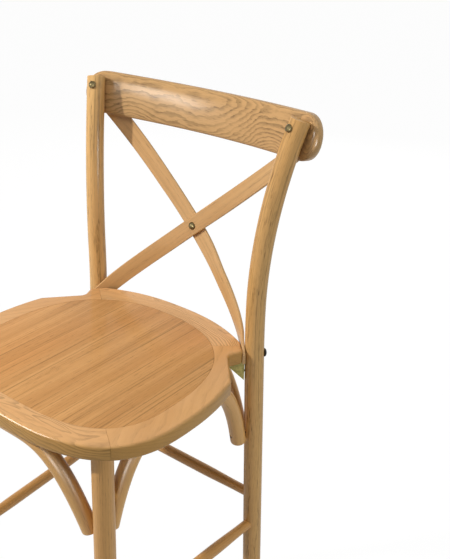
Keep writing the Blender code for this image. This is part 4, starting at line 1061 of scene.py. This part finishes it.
def oak(name):
    """Lacquered oak whose figure follows each piece's own grain."""
    if name in bpy.data.materials:
        return bpy.data.materials[name]
    wood, tints = OAKS[name], finish()
    material, tree, shader = new_material(name)
    place = node(tree, "ShaderNodeAttribute", attribute_name="grain", attribute_type="GEOMETRY")
    inputs = {"Grain": place.outputs["Vector"], "Ring Spacing": wood.spacing, "Waviness": wood.waviness,
              "Wave Length": wood.wave_length, "Wave Width": wood.wave_width, "Early Wood": wood.early}
    figure = node(tree, "ShaderNodeGroup", inputs, node_tree=oak_figure_group()).outputs
    body = scaled(tints.oak_light, wood.tone)
    for mask, amount, tint in (("Blush", wood.blush, tints.oak_blush),
                               ("Streaks", wood.streak, tints.oak_deep),
                               ("Rings", wood.ring, tints.oak_ring),
                               ("Lines", wood.line, tints.oak_ring),
                               ("Pores", wood.pore, tints.oak_pore)):
        shown = maths(tree, "MULTIPLY", figure[mask], amount)
        body = tinted(tree, shown, body, scaled(tint, wood.tone))
    # Painted shade: below the top's rounded edge, the seat's side faces are multiplied by the rim
    # colour.
    if wood.shaded_rim:
        rim = node(tree, "ShaderNodeAttribute", attribute_name="edge", attribute_type="GEOMETRY")
        body = tinted(tree, rim.outputs["Fac"], body, tints.rim_shade, "MULTIPLY")
    feed(tree, shader.inputs["Base Color"], body)
    streak_rough, pore_rough, ring_relief = 0.06, 0.15, 0.3
    rough = maths(tree, "ADD", maths(tree, "MULTIPLY", figure["Streaks"], streak_rough), wood.rough)
    rough = maths(tree, "ADD", rough, maths(tree, "MULTIPLY", figure["Pores"], pore_rough))
    feed(tree, shader.inputs["Roughness"], rough)
    relief = maths(tree, "ADD", figure["Pores"], maths(tree, "MULTIPLY", figure["Rings"], ring_relief))
    bumped(tree, shader, relief, strength=0.25, distance=0.0002, invert=True)
    shader.inputs["Specular IOR Level"].default_value = 0.0
    shader.inputs["Coat Weight"].default_value = wood.coat
    shader.inputs["Coat Roughness"].default_value = wood.coat_rough
    return material


def tarnish_group():
    """Handling marks and tarnish for small metal and nylon pieces."""
    name = "tarnish"
    if name in bpy.data.node_groups:
        return bpy.data.node_groups[name]
    tree, start = shader_group(name, "Vector", {"Grit": 900.0}, ("Cloud", "Specks"))
    cloud = stretched_noise(tree, start["Vector"], (260.0, 260.0, 260.0), detail=3.0)
    inputs = {"Vector": start["Vector"], "Scale": start["Grit"], "Detail": 2.0}
    specks = node(tree, "ShaderNodeTexNoise", inputs).outputs["Fac"]
    node(tree, "NodeGroupOutput", {"Cloud": band(tree, cloud, 0.32, 0.68),
                                   "Specks": band(tree, specks, 0.5, 0.75)})
    return tree


def worn(name, tint, shade, metallic, rough, grit=900.0):
    """Metal or nylon with tarnish, whose colour goes down to a share of its own in noise clouds and
    specks.
    """
    if name in bpy.data.materials:
        return bpy.data.materials[name]
    material, tree, shader = new_material(name)
    inputs = {"Vector": node(tree, "ShaderNodeTexCoord").outputs["Object"], "Grit": grit}
    marks = node(tree, "ShaderNodeGroup", inputs, node_tree=tarnish_group()).outputs
    cloud, specks = marks["Cloud"], marks["Specks"]
    cloud_tone, speck_tone, cloud_rough = 0.6, 0.35, 0.18
    dark = scaled(tint, shade)
    body = tinted(tree, maths(tree, "MULTIPLY", cloud, cloud_tone), tuple(tint), dark)
    body = tinted(tree, maths(tree, "MULTIPLY", specks, speck_tone), body, dark)
    feed(tree, shader.inputs["Base Color"], body)
    dulled = maths(tree, "ADD", maths(tree, "MULTIPLY", cloud, cloud_rough), rough)
    feed(tree, shader.inputs["Roughness"], dulled)
    bumped(tree, shader, specks, strength=0.12, distance=0.0001)
    shader.inputs["Metallic"].default_value = metallic
    return material


def brass_metal():
    return worn("antique brass", finish().brass, shade=0.35, metallic=1.0, rough=0.30)


def dark_metal():
    return worn("dark steel", finish().steel, shade=0.5, metallic=1.0, rough=0.42)


# The stool's pieces

def upright(axis, side, top, radius, foot_radius, steps):
    """Route and girth of a post or leg from its glide to its top."""
    heights = [GLIDE_TOP + (top - GLIDE_TOP) * step / steps for step in range(steps + 1)]
    return ([axis(side, height) for height in heights],
            [taper(radius, foot_radius, height) for height in heights])


class STOOL_OT_posts(bpy.types.Operator):
    """Bend the two rear posts from floor to crest"""
    bl_idname = "stool.posts"
    bl_label = "Rear Posts"

    def execute(self, context):
        s = sizes()
        timber = {"left": (0.4, (0.0092, 0.0221)), "right": (3.1, (-0.0238, -0.0031))}
        for name, (log, pith) in timber.items():
            points, radii = upright(post_axis, SIDES[name], post_top(), s.post_radius,
                                    s.post_foot_radius, steps=120)
            wood = oak(name + " post oak")
            mesh = rod(points, radii, log, pith, wood, sides=48, ease=s.post_ease)
            add_piece("oak_post_" + name, mesh, wood, ["rear_post_" + name])
        return {"FINISHED"}


class STOOL_OT_legs(bpy.types.Operator):
    """Turn the two splayed front legs"""
    bl_idname = "stool.legs"
    bl_label = "Front Legs"

    def execute(self, context):
        s = sizes()
        logs, pith = {"left": 6.1, "right": 8.4}, (0.020, 0.016)
        top = under_seat() + s.leg_tenon
        wood = oak("turned oak")
        for name, side in SIDES.items():
            points, radii = upright(leg_axis, side, top, s.leg_radius, s.leg_foot_radius, steps=60)
            mesh = rod(points, radii, logs[name], pith, wood, sides=48, ease=s.rod_ease)
            add_piece("oak_leg_" + name, mesh, wood, ["front_leg_" + name])
        return {"FINISHED"}


def crest_figure(x, rise):
    """How far the growth rings swell towards the face: two nests low down, long lines above them."""
    right_x, right_rise, right_run, right_slope = 0.150, -0.042, 0.085, 0.26
    left_x, left_rise, left_stretch, left_slope = -0.145, -0.044, 1.4, 0.30
    right_reach, left_drop, blend = 0.065, 0.0085, 0.0025
    drawn = right_reach * math.tanh((x - right_x) / right_run)
    right = -right_slope * math.hypot(drawn, rise - right_rise)
    left = -left_drop - left_slope * math.hypot((x - left_x) / left_stretch, rise - left_rise)
    return max(right, left) + blend * math.log1p(math.exp(-abs(right - left) / blend))


class STOOL_OT_crest(bpy.types.Operator):
    """Bow the crest rail over both posts"""
    bl_idname = "stool.crest"
    bl_label = "Crest Rail"

    def execute(self, context):
        s = sizes()
        half = s.crest_length / 2
        radius = s.crest_width / 2
        around, steps = 72, 180
        log, pith, ring_slant = 11.3, (-0.010, -0.060), 0.35
        rings, grains = [], []
        travelled = 0.0
        before = None
        for step in range(1, steps):
            x = half * math.sin((2 * step / steps - 1) * math.pi / 2)
            past_round = max(0.0, abs(x) - (half - radius))
            past_edge = min(1.0, max(0.0, abs(x) - (half - s.crest_end_round)) / s.crest_end_round)
            tall = math.sqrt(max(0.0, radius ** 2 - past_round ** 2))
            thick = s.crest_thickness / 2 * math.sqrt(1 - past_edge ** 2)
            pillow = math.sin(math.pi / 2 * past_round / radius) ** 2
            power = 2 / (s.crest_fullness + (s.crest_end_fullness - s.crest_fullness) * pillow)
            middle = crest_point(x, 0, 0)
            travelled += (middle - before).length if before else 0.0
            before = middle
            ring, grain = [], []
            for i in range(around):
                turn = 2 * math.pi * i / around
                rise = tall * math.copysign(abs(math.sin(turn)) ** power, math.sin(turn))
                depth = thick * math.copysign(abs(math.cos(turn)) ** power, math.cos(turn))
                crown = s.crest_crown if rise > 0 else s.crest_crown * s.crest_lower_crown
                depth *= 1 - crown * (rise / radius) ** 2
                ring.append(crest_point(x, rise, depth))
                through = depth + pith[1] + crest_figure(x, rise)
                grain.append(Vector((travelled + log, rise * ring_slant + pith[0], through)))
            rings.append(ring)
            grains.append(grain)
        wood = oak("flat sawn oak")
        add_piece("oak_crest", loft("crest", rings, grains), wood, ["crest_rail"], sharp=50)
        return {"FINISHED"}


def strip_section(width, thickness, edge, steps=4):
    """Rounded cross section of a slat, as across and through places."""
    corners = ((1, 1, 0), (-1, 1, 90), (-1, -1, 180), (1, -1, 270))
    spots = []
    for a, b, first in corners:
        for step in range(steps + 1):
            turn = math.radians(first + 90 * step / steps)
            spots.append((a * (width / 2 - edge) + edge * math.cos(turn),
                          b * (thickness / 2 - edge) + edge * math.sin(turn)))
    return spots


def slat_mesh(side, step_back, steps=96):
    """Bent and twisted strip on its route, laid against the other slat where they cross."""
    s = sizes()
    points = slat_route(side, steps)
    centre, square = slat_crossing()
    press = [math.cos(min(1.0, abs(point.x) / s.slat_overlap) * math.pi / 2) ** 2 for point in points]
    for point, amount in zip(points, press):
        point.y += (centre + square * step_back - point).dot(square) / square.y * amount
    last = len(points) - 1
    spots = strip_section(s.slat_width, s.slat_thickness, s.slat_edge)
    rings, grains = [], []
    log, pith = (3.0 if side > 0 else 5.2), (0.006, 0.040)
    travelled, before = log, points[0]
    for index, point in enumerate(points):
        run = (points[min(index + 1, last)] - points[max(index - 1, 0)]).normalized()
        facing = Vector((side * run.y, -side * run.x, 0)).normalized()
        across = facing.cross(run) * side
        lean = slat_lean(point.z)
        leant = facing * math.cos(lean) - across * math.sin(lean)
        across = leant.lerp(square, press[index]).cross(run).normalized()
        through = run.cross(across)
        travelled += (point - before).length
        before = point
        rings.append([point + across * a + through * b for a, b in spots])
        grains.append([Vector((travelled, a + pith[0], b + pith[1])) for a, b in spots])
    return loft("slat", rings, grains)


class STOOL_OT_slats(bpy.types.Operator):
    """Bend the two crossed slats between the corner joints and the crest"""
    bl_idname = "stool.slats"
    bl_label = "Crossed Slats"

    def execute(self, context):
        s = sizes()
        step_back = (s.slat_thickness + s.slat_gap) / 2
        wood = oak("bent slat oak")
        for name, side, offset in (("front", -1, -step_back), ("rear", 1, step_back)):
            mesh = slat_mesh(side, offset)
            cut(mesh, UP * (under_seat() + s.joint_gap), -UP)
            along = corner_axes(side)[1]
            cut(mesh, corner_place(side) - along * s.ear_width / 2, -along)
            add_piece("oak_slat_" + name, mesh, wood, ["back_slat_" + name])
        return {"FINISHED"}


class STOOL_OT_seat_rails(bpy.types.Operator):
    """Mitre the four rails round the seat panel"""
    bl_idname = "stool.seat_rails"
    bl_label = "Seat Rails"

    def execute(self, context):
        s = sizes()
        low, high, spare = under_seat(), s.seat_height, 0.01
        ring = rounded_rim(plate(seat_outline(), low, high), s.seat_rim, segments=5)
        ring = carved(ring, plate(panel_outline(s.joint_gap), low - spare, high + spare))
        front = Vector((math.sin(s.front_mitre_angle), -math.cos(s.front_mitre_angle), 0))
        rear = Vector((-math.sin(s.rear_mitre_angle), math.cos(s.rear_mitre_angle), 0))
        front_at = Vector((s.front_mitre_x, s.front_mitre_y, 0))
        rear_at = Vector((s.rear_mitre_x, s.rear_mitre_y, 0))
        flip = Matrix.Diagonal((-1, 1, 1))
        gap = s.joint_gap / 2
        timber = {"front": (1.0, (-0.026, 0.012), 0.025), "rear": (2.2, (0.05, 0.02), 0.002)}
        for name, place, normal in (("front", front_at, front), ("rear", rear_at, rear)):
            log, pith, arching = timber[name]
            mesh = ring.copy()
            for turn in (Matrix.Identity(3), flip):
                cut(mesh, turn @ (place + normal * gap), turn @ -normal)
            curved_grain(mesh, log, pith, Vector((0, place.y)), arching)
            mark_shaded_rim(mesh, high)
            wood = oak("seat rail oak")
            solid = "seat_{}_rail".format(name)
            add_piece("oak_rail_" + name, mesh, wood, [solid], sharp=30)
        log, pith, slant, run, ring_share = 3.7, (-0.010, -0.70), -0.44, 0.90, 0.4
        for name, side in SIDES.items():
            mesh = ring.copy()
            turn = Matrix.Identity(3) if side > 0 else flip
            cut(mesh, Vector((side * s.panel_half_width / 4, 0, 0)), -side * ACROSS)
            cut(mesh, turn @ (front_at - front * gap), turn @ front)
            cut(mesh, turn @ (rear_at - rear * gap), turn @ rear)
            lay = Vector((slant * side, run, 0))
            straight_grain(mesh, lay, lay.cross(UP) * ring_share, log + side, pith)
            mark_shaded_rim(mesh, high)
            wood = oak("side rail oak")
            add_piece("oak_rail_" + name, mesh, wood, ["seat_side_rail_" + name], sharp=30)
        return {"FINISHED"}


class STOOL_OT_seat_panel(bpy.types.Operator):
    """Set the seat panel inside its rails"""
    bl_idname = "stool.seat_panel"
    bl_label = "Seat Panel"

    def execute(self, context):
        s = sizes()
        log, pith = 8.4, (0.013, -0.70)
        mesh = plate(panel_outline(), under_seat(), s.seat_height)
        mesh = rounded_rim(mesh, s.panel_ease, segments=2)
        straight_grain(mesh, BACK, ACROSS, log, pith)
        add_piece("oak_panel", mesh, oak("seat panel oak"), ["seat_panel"], sharp=30)
        return {"FINISHED"}


class STOOL_OT_arches(bpy.types.Operator):
    """Bend the four arches under the seat"""
    bl_idname = "stool.arches"
    bl_label = "Bentwood Arches"

    def execute(self, context):
        s = sizes()
        level = under_seat() - s.joint_gap
        first_log, log_step, pith = 12.0, 1.9, (0.018, 0.006)
        steps, crowding = 96, 1.3
        wood = oak("bent oak")
        for index, (name, (first, last, top, full, *_)) in enumerate(arch_specs().items()):
            points = []
            for step in range(steps + 1):
                way = 2 * step / steps - 1
                crowded = math.copysign(1 - (1 - abs(way)) ** crowding, way)
                points.append(arch_point(first, last, top, full, crowded))
            radii = [s.arch_radius] * len(points)
            log = first_log + log_step * index
            mesh = rod(points, radii, log, pith, wood, sides=36, ease=s.arch_ease)
            for vertex in mesh.vertices:
                vertex.co.z = min(vertex.co.z, level)
            holes = [(head, -aim) for head, aim, _ in arch_screws(name)]
            mesh = drilled(mesh, holes, s.screw_head_radius + s.joint_gap, s.screw_sink * 2)
            add_piece("oak_" + name, mesh, wood, [name])
        return {"FINISHED"}


class STOOL_OT_stretchers(bpy.types.Operator):
    """Turn the foot rest and the three stretchers"""
    bl_idname = "stool.stretchers"
    bl_label = "Stretchers"

    def execute(self, context):
        s = sizes()
        first_log, log_step, pith = 22.0, 1.7, (0.014, 0.011)
        steps, neck, swell_run = 60, 0.08, 0.22
        thin = (s.stretcher_radius, s.stretcher_end)
        specs = {"front_footrest": (leg_axis(-1, s.footrest), leg_axis(1, s.footrest),
                                    s.footrest_radius, s.footrest_end),
                 "rear_stretcher": (post_axis(-1, s.rear_stretcher), post_axis(1, s.rear_stretcher),
                                    *thin)}
        for name, side in SIDES.items():
            ends = leg_axis(side, s.side_stretcher), post_axis(side, s.side_stretcher)
            specs["side_stretcher_" + name] = (*ends, *thin)
        wood = oak("turned oak")
        for index, (name, (start, end, radius, end_radius)) in enumerate(specs.items()):
            points, radii = [], []
            for step in range(steps + 1):
                way = step / steps
                near = min(way, 1 - way)
                swell = min(1.0, max(0.0, (near - neck) / swell_run))
                points.append(start.lerp(end, way))
                radii.append(end_radius + (radius - end_radius) * swell * swell * (3 - 2 * swell))
            log = first_log + log_step * index
            mesh = rod(points, radii, log, pith, wood, sides=36, ease=s.rod_ease)
            add_piece("oak_" + name, mesh, wood, [name])
        return {"FINISHED"}


def domed_fasteners(spots, head_radius, head_height, shank_radius, material):
    """Domed bolts from (seat of the head, aim, reach) of each."""
    tree = fastener_tree("domed fasteners", domed_head)
    places, aims, reaches = zip(*spots)
    points = point_mesh("bolt places", places, aim=aims, reach=reaches)
    return grown(tree, points, {"Head Radius": head_radius, "Head Height": head_height,
                                "Shank Radius": shank_radius, "Shank Start": 0.0, "Material": material})


class STOOL_OT_bolts(bpy.types.Operator):
    """Set the domed bolts of the crest, the crossing and the corner joints"""
    bl_idname = "stool.bolts"
    bl_label = "Domed Bolts"

    def execute(self, context):
        s = sizes()
        brass, dark = brass_metal(), dark_metal()
        crest, corner = [], []
        for side in SIDES.values():
            rearward = crest_bolt_axis(side)
            seat = post_axis(side, bolt_height()) - rearward * (s.post_radius + s.joint_gap)
            crest.append((seat, -rearward, 2 * s.post_radius + s.insert_length))
            outward = corner_axes(side)[0]
            lift = s.post_radius + s.joint_gap
            reach = lift + ear_reach() + s.seat_bolt_reach
            corner.append((corner_place(side) + outward * lift, outward, reach))
        centre, rearward = slat_crossing()
        half_stack = s.slat_thickness + s.slat_gap / 2 + s.joint_gap
        crossing = (centre - rearward * half_stack, -rearward, 2 * half_stack + s.cap_nut_height / 2)
        heads = s.bolt_head_radius, s.bolt_head_height, s.bolt_radius
        mesh = domed_fasteners(crest + [crossing], *heads, brass)
        add_piece("brass_bolts", mesh, brass,
                  ["crest_bolt_left", "crest_bolt_right", "crossing_bolt"])
        nut = [(centre + rearward * half_stack, rearward, s.joint_gap)]
        heads = s.cap_nut_radius, s.cap_nut_height, s.bolt_radius
        mesh = domed_fasteners(nut, *heads, brass)
        add_piece("brass_cap_nut", mesh, brass, ["crossing_cap_nut"])
        heads = s.seat_bolt_head_radius, s.seat_bolt_head_height, s.bolt_radius
        mesh = domed_fasteners(corner, *heads, dark)
        add_piece("dark_seat_bolts", mesh, dark, ["seat_bolt_left", "seat_bolt_right"])
        return {"FINISHED"}


class STOOL_OT_screws(bpy.types.Operator):
    """Drive the countersunk screws of the arches"""
    bl_idname = "stool.screws"
    bl_label = "Arch Screws"

    def execute(self, context):
        s = sizes()
        dark = dark_metal()
        tree = fastener_tree("countersunk screws", countersunk_head, "Recess Width", "Recess Length")
        nodes = [name for name in frame["nodes"] if "arch" in name and "_screw_" in name]
        places, aims, reaches = zip(*(screw for name in arch_specs() for screw in arch_screws(name)))
        if len(nodes) != len(places):
            raise RuntimeError("the solids have {} arch screws, not {}".format(len(nodes), len(places)))
        points = point_mesh("screw places", places, aim=aims, reach=reaches)
        mesh = grown(tree, points, {
            "Head Radius": s.screw_head_radius, "Head Height": s.screw_head_height,
            "Shank Radius": s.screw_radius, "Shank Start": s.screw_head_height,
            "Recess Width": s.screw_recess, "Recess Length": s.screw_recess_length, "Material": dark})
        add_piece("dark_arch_screws", mesh, dark, nodes)
        return {"FINISHED"}


class STOOL_OT_glides(bpy.types.Operator):
    """Nail a glide under each foot"""
    bl_idname = "stool.glides"
    bl_label = "Foot Glides"

    def execute(self, context):
        s = sizes()
        nylon = worn("foot nylon", finish().nylon, shade=0.6, metallic=0.0, rough=0.55, grit=400.0)
        feet = [axis(side, 0) for axis in (leg_axis, post_axis) for side in SIDES.values()]
        mesh = grown(glide_tree(), point_mesh("feet", feet), {
            "Radius": s.glide_radius, "Height": s.glide_height, "Ease": s.glide_height / 4,
            "Pin Radius": s.glide_pin_radius, "Pin Length": s.glide_pin_length, "Material": nylon})
        add_piece("foot_glides", mesh, nylon,
                  [name for name in frame["nodes"] if name.startswith("foot_glide")])
        return {"FINISHED"}


class STOOL_OT_metal(bpy.types.Operator):
    """Finish the brackets, their screws, the barrel nuts and the inserts"""
    bl_idname = "stool.metal"
    bl_label = "Fittings"

    def execute(self, context):
        bracket = worn("olive bracket", finish().bracket, shade=0.55, metallic=0.35, rough=0.42,
                       grit=600.0)
        for name, solid in frame["nodes"].items():
            if name.startswith("crest_insert"):
                coat = brass_metal()
            elif name.startswith("corner_bracket"):
                coat = bracket
            elif name.startswith(("bracket_", "seat_barrel")):
                coat = dark_metal()
            else:
                continue
            solid.data.materials.clear()
            solid.data.materials.append(coat)
        return {"FINISHED"}


# The stage

WHITE = (1, 1, 1, 1)
GLOSS_TINT = (1.0, 0.99, 0.96)


class STOOL_OT_stage(bpy.types.Operator):
    """Set the floor, the lights and the camera"""
    bl_idname = "stool.stage"
    bl_label = "Stage"

    def execute(self, context):
        scene = context.scene
        scene.view_settings.view_transform = "Standard"
        make_floor()
        make_world(scene)
        make_lights()
        make_camera(scene)
        return {"FINISHED"}


def seen_directly(tree):
    """1 for what is seen straight, reflected or through glass, 0 for the light that it gives."""
    path = node(tree, "ShaderNodeLightPath").outputs
    straight = maths(tree, "MAXIMUM", path["Is Camera Ray"], path["Is Glossy Ray"])
    return maths(tree, "MAXIMUM", straight, path["Is Transmission Ray"])


def make_floor():
    """Pale floor that shows white to the camera and keeps the stool's shadow."""
    half_width, brightness, glow_share = 14, 1.08, 0.90
    mesh = bpy.data.meshes.new("floor")
    with reshaped(mesh) as shape:
        bmesh.ops.create_grid(shape, x_segments=2, y_segments=2, size=half_width)
    floor = bpy.data.objects.new("floor", mesh)
    bpy.context.scene.collection.objects.link(floor)
    material, tree, shader = new_material("pale floor")
    shader.inputs["Base Color"].default_value = (*finish().floor, 1)
    shader.inputs["Roughness"].default_value = 0.9
    shader.inputs["Specular IOR Level"].default_value = 0.1
    glow = node(tree, "ShaderNodeEmission", {"Color": WHITE, "Strength": brightness})
    amount = maths(tree, "MULTIPLY", seen_directly(tree), glow_share)
    mix = node(tree, "ShaderNodeMixShader", {0: amount, 1: shader.outputs[0], 2: glow.outputs[0]})
    feed(tree, tree.nodes["Material Output"].inputs["Surface"], mix.outputs[0])
    mesh.materials.append(material)


def make_world(scene):
    """White surroundings that give only a little light."""
    light = 0.09
    world = bpy.data.worlds.new("studio")
    world.use_nodes = True
    tree = world.node_tree
    background = tree.nodes["Background"]
    background.inputs["Color"].default_value = WHITE
    shown = maths(tree, "MULTIPLY", seen_directly(tree), 1 - light)
    feed(tree, background.inputs["Strength"], maths(tree, "ADD", shown, light))
    scene.world = world


def area_light(name, place, aim, size, power, tint):
    """Round soft lamp that lights without a reflection."""
    data = bpy.data.lights.new(name, "AREA")
    data.shape = "DISK"
    data.size = size
    data.energy = power
    data.color = tint
    lamp = bpy.data.objects.new(name, data)
    bpy.context.scene.collection.objects.link(lamp)
    lamp.location = place
    lamp.rotation_euler = (Vector(aim) - Vector(place)).to_track_quat("-Z", "Y").to_euler()
    lamp.visible_glossy = False
    return lamp


def gloss_box(name, place, aim, wide, tall, power, pieces, turn=0):
    """Box that shows only as a reflection in the lacquer of some pieces."""
    lamp = area_light(name, place, aim, wide, power, GLOSS_TINT)
    lamp.data.shape = "RECTANGLE"
    lamp.data.size_y = tall
    lamp.rotation_euler.rotate_axis("Z", math.radians(turn))
    lamp.visible_glossy = True
    lamp.visible_diffuse = False
    aimed = bpy.data.collections.new(name + " pieces")
    for piece in pieces:
        aimed.objects.link(bpy.data.objects[piece])
    lamp.light_linking.receiver_collection = aimed


def make_lights():
    """Hard key from the left in front, soft light above, fills all round and boxes for the gloss."""
    area_light("key", (-1.64, -1.83, 2.57), (0, 0, 0.85), size=0.12, power=77, tint=(1.0, 0.965, 0.925))
    area_light("top", (0.5, -0.7, 3.40), (0, 0, 0.76), size=2.0, power=33, tint=(1.0, 0.97, 0.94))
    area_light("front", (1.25, -1.70, 1.25), (0, 0, 0.75), size=0.25, power=3.6, tint=(1.0, 0.99, 0.95))
    area_light("fill", (-1.6, -2.2, 1.30), (0, 0, 0.9), size=1.0, power=9, tint=(1.0, 0.98, 0.92))
    area_light("side", (4.0, 1.1, 1.1), (0, 0, 0.8), size=2.0, power=62, tint=(0.95, 1.0, 0.93))
    area_light("back", (-1.6, 3.2, 1.5), (0, 0, 0.8), size=1.5, power=60, tint=(1.0, 0.98, 0.95))
    arches = [name for name in bpy.data.objects.keys() if name.startswith("oak_") and "arch" in name]
    top = ["oak_crest", "brass_bolts"]
    gloss_box("crest box", (-0.95, -1.94, 1.70), (0, 0.2, 1.09), wide=1.0, tall=0.30, power=22,
              pieces=top, turn=22)
    gloss_box("post box", (3.5, -0.3, 1.10), (0, 0, 1.0), wide=0.12, tall=0.7, power=34,
              pieces=["oak_post_left"])
    gloss_box("arch box", (3.0, -0.4, 1.0), (0, -0.2, 0.7), wide=1.2, tall=1.0, power=50,
              pieces=arches)
    gloss_box("limb box", (1.15, -1.80, 0.98), (0.2, -0.2, 0.65), wide=0.7, tall=0.5, power=36,
              pieces=arches + top)
    gloss_box("rim box", (-1.34, -1.79, 1.30), (-0.1, -0.2, 0.76), wide=1.8, tall=1.2, power=170,
              pieces=["oak_rail_front"])


def make_camera(scene):
    """Camera above the seat, in front on the right."""
    width, height = 450, 559
    focus, middle_x, middle_y = 895.3, 165.0, 250.0
    swing, dip, roll = 0.7098, 0.4205, -0.0022
    place = Vector((0.8739, -0.8539, 1.4812)) + MIDDLE
    level = Vector((-math.sin(swing), math.cos(swing), 0))
    ahead = level * math.cos(dip) - UP * math.sin(dip)
    right = ahead.cross(UP).normalized()
    down = ahead.cross(right)
    turn = Matrix((right, -down, -ahead)).transposed() @ Matrix.Rotation(-roll, 3, "Z")
    data = bpy.data.cameras.new("camera")
    data.sensor_width = 36
    data.lens = focus * data.sensor_width / height
    data.shift_x = (width / 2 - middle_x) / height
    data.shift_y = (middle_y - height / 2) / height
    camera = bpy.data.objects.new("camera", data)
    scene.collection.objects.link(camera)
    camera.matrix_world = Matrix.Translation(place) @ turn.to_4x4()
    scene.camera = camera


class STOOL_PT_panel(bpy.types.Panel):
    """Stool pieces and finishes"""
    bl_idname = "STOOL_PT_panel"
    bl_label = "Bar Stool"
    bl_space_type = "VIEW_3D"
    bl_region_type = "UI"
    bl_category = "Stool"

    def draw(self, context):
        for operator in OPERATORS:
            self.layout.operator(operator.bl_idname)
        for group in (sizes(), finish()):
            column = self.layout.column()
            for name in group.__annotations__:
                column.prop(group, name)


OPERATORS = (STOOL_OT_posts, STOOL_OT_legs, STOOL_OT_crest, STOOL_OT_slats, STOOL_OT_seat_rails,
             STOOL_OT_seat_panel, STOOL_OT_arches, STOOL_OT_stretchers, STOOL_OT_bolts, STOOL_OT_screws,
             STOOL_OT_glides, STOOL_OT_metal, STOOL_OT_stage)
CLASSES = (StoolSizes, StoolFinish, *OPERATORS, STOOL_PT_panel)


def register():
    for kind in CLASSES:
        bpy.utils.register_class(kind)
    bpy.types.Scene.stool_sizes = bpy.props.PointerProperty(type=StoolSizes)
    bpy.types.Scene.stool_finish = bpy.props.PointerProperty(type=StoolFinish)


def unregister():
    del bpy.types.Scene.stool_finish
    del bpy.types.Scene.stool_sizes
    for kind in reversed(CLASSES):
        bpy.utils.unregister_class(kind)


def main():
    register()
    bpy.ops.stool.posts()
    bpy.ops.stool.legs()
    bpy.ops.stool.crest()
    bpy.ops.stool.slats()
    bpy.ops.stool.seat_rails()
    bpy.ops.stool.seat_panel()
    bpy.ops.stool.arches()
    bpy.ops.stool.stretchers()
    bpy.ops.stool.bolts()
    bpy.ops.stool.screws()
    bpy.ops.stool.glides()
    bpy.ops.stool.metal()
    bpy.ops.stool.stage()


if __name__ == "__main__":
    main()
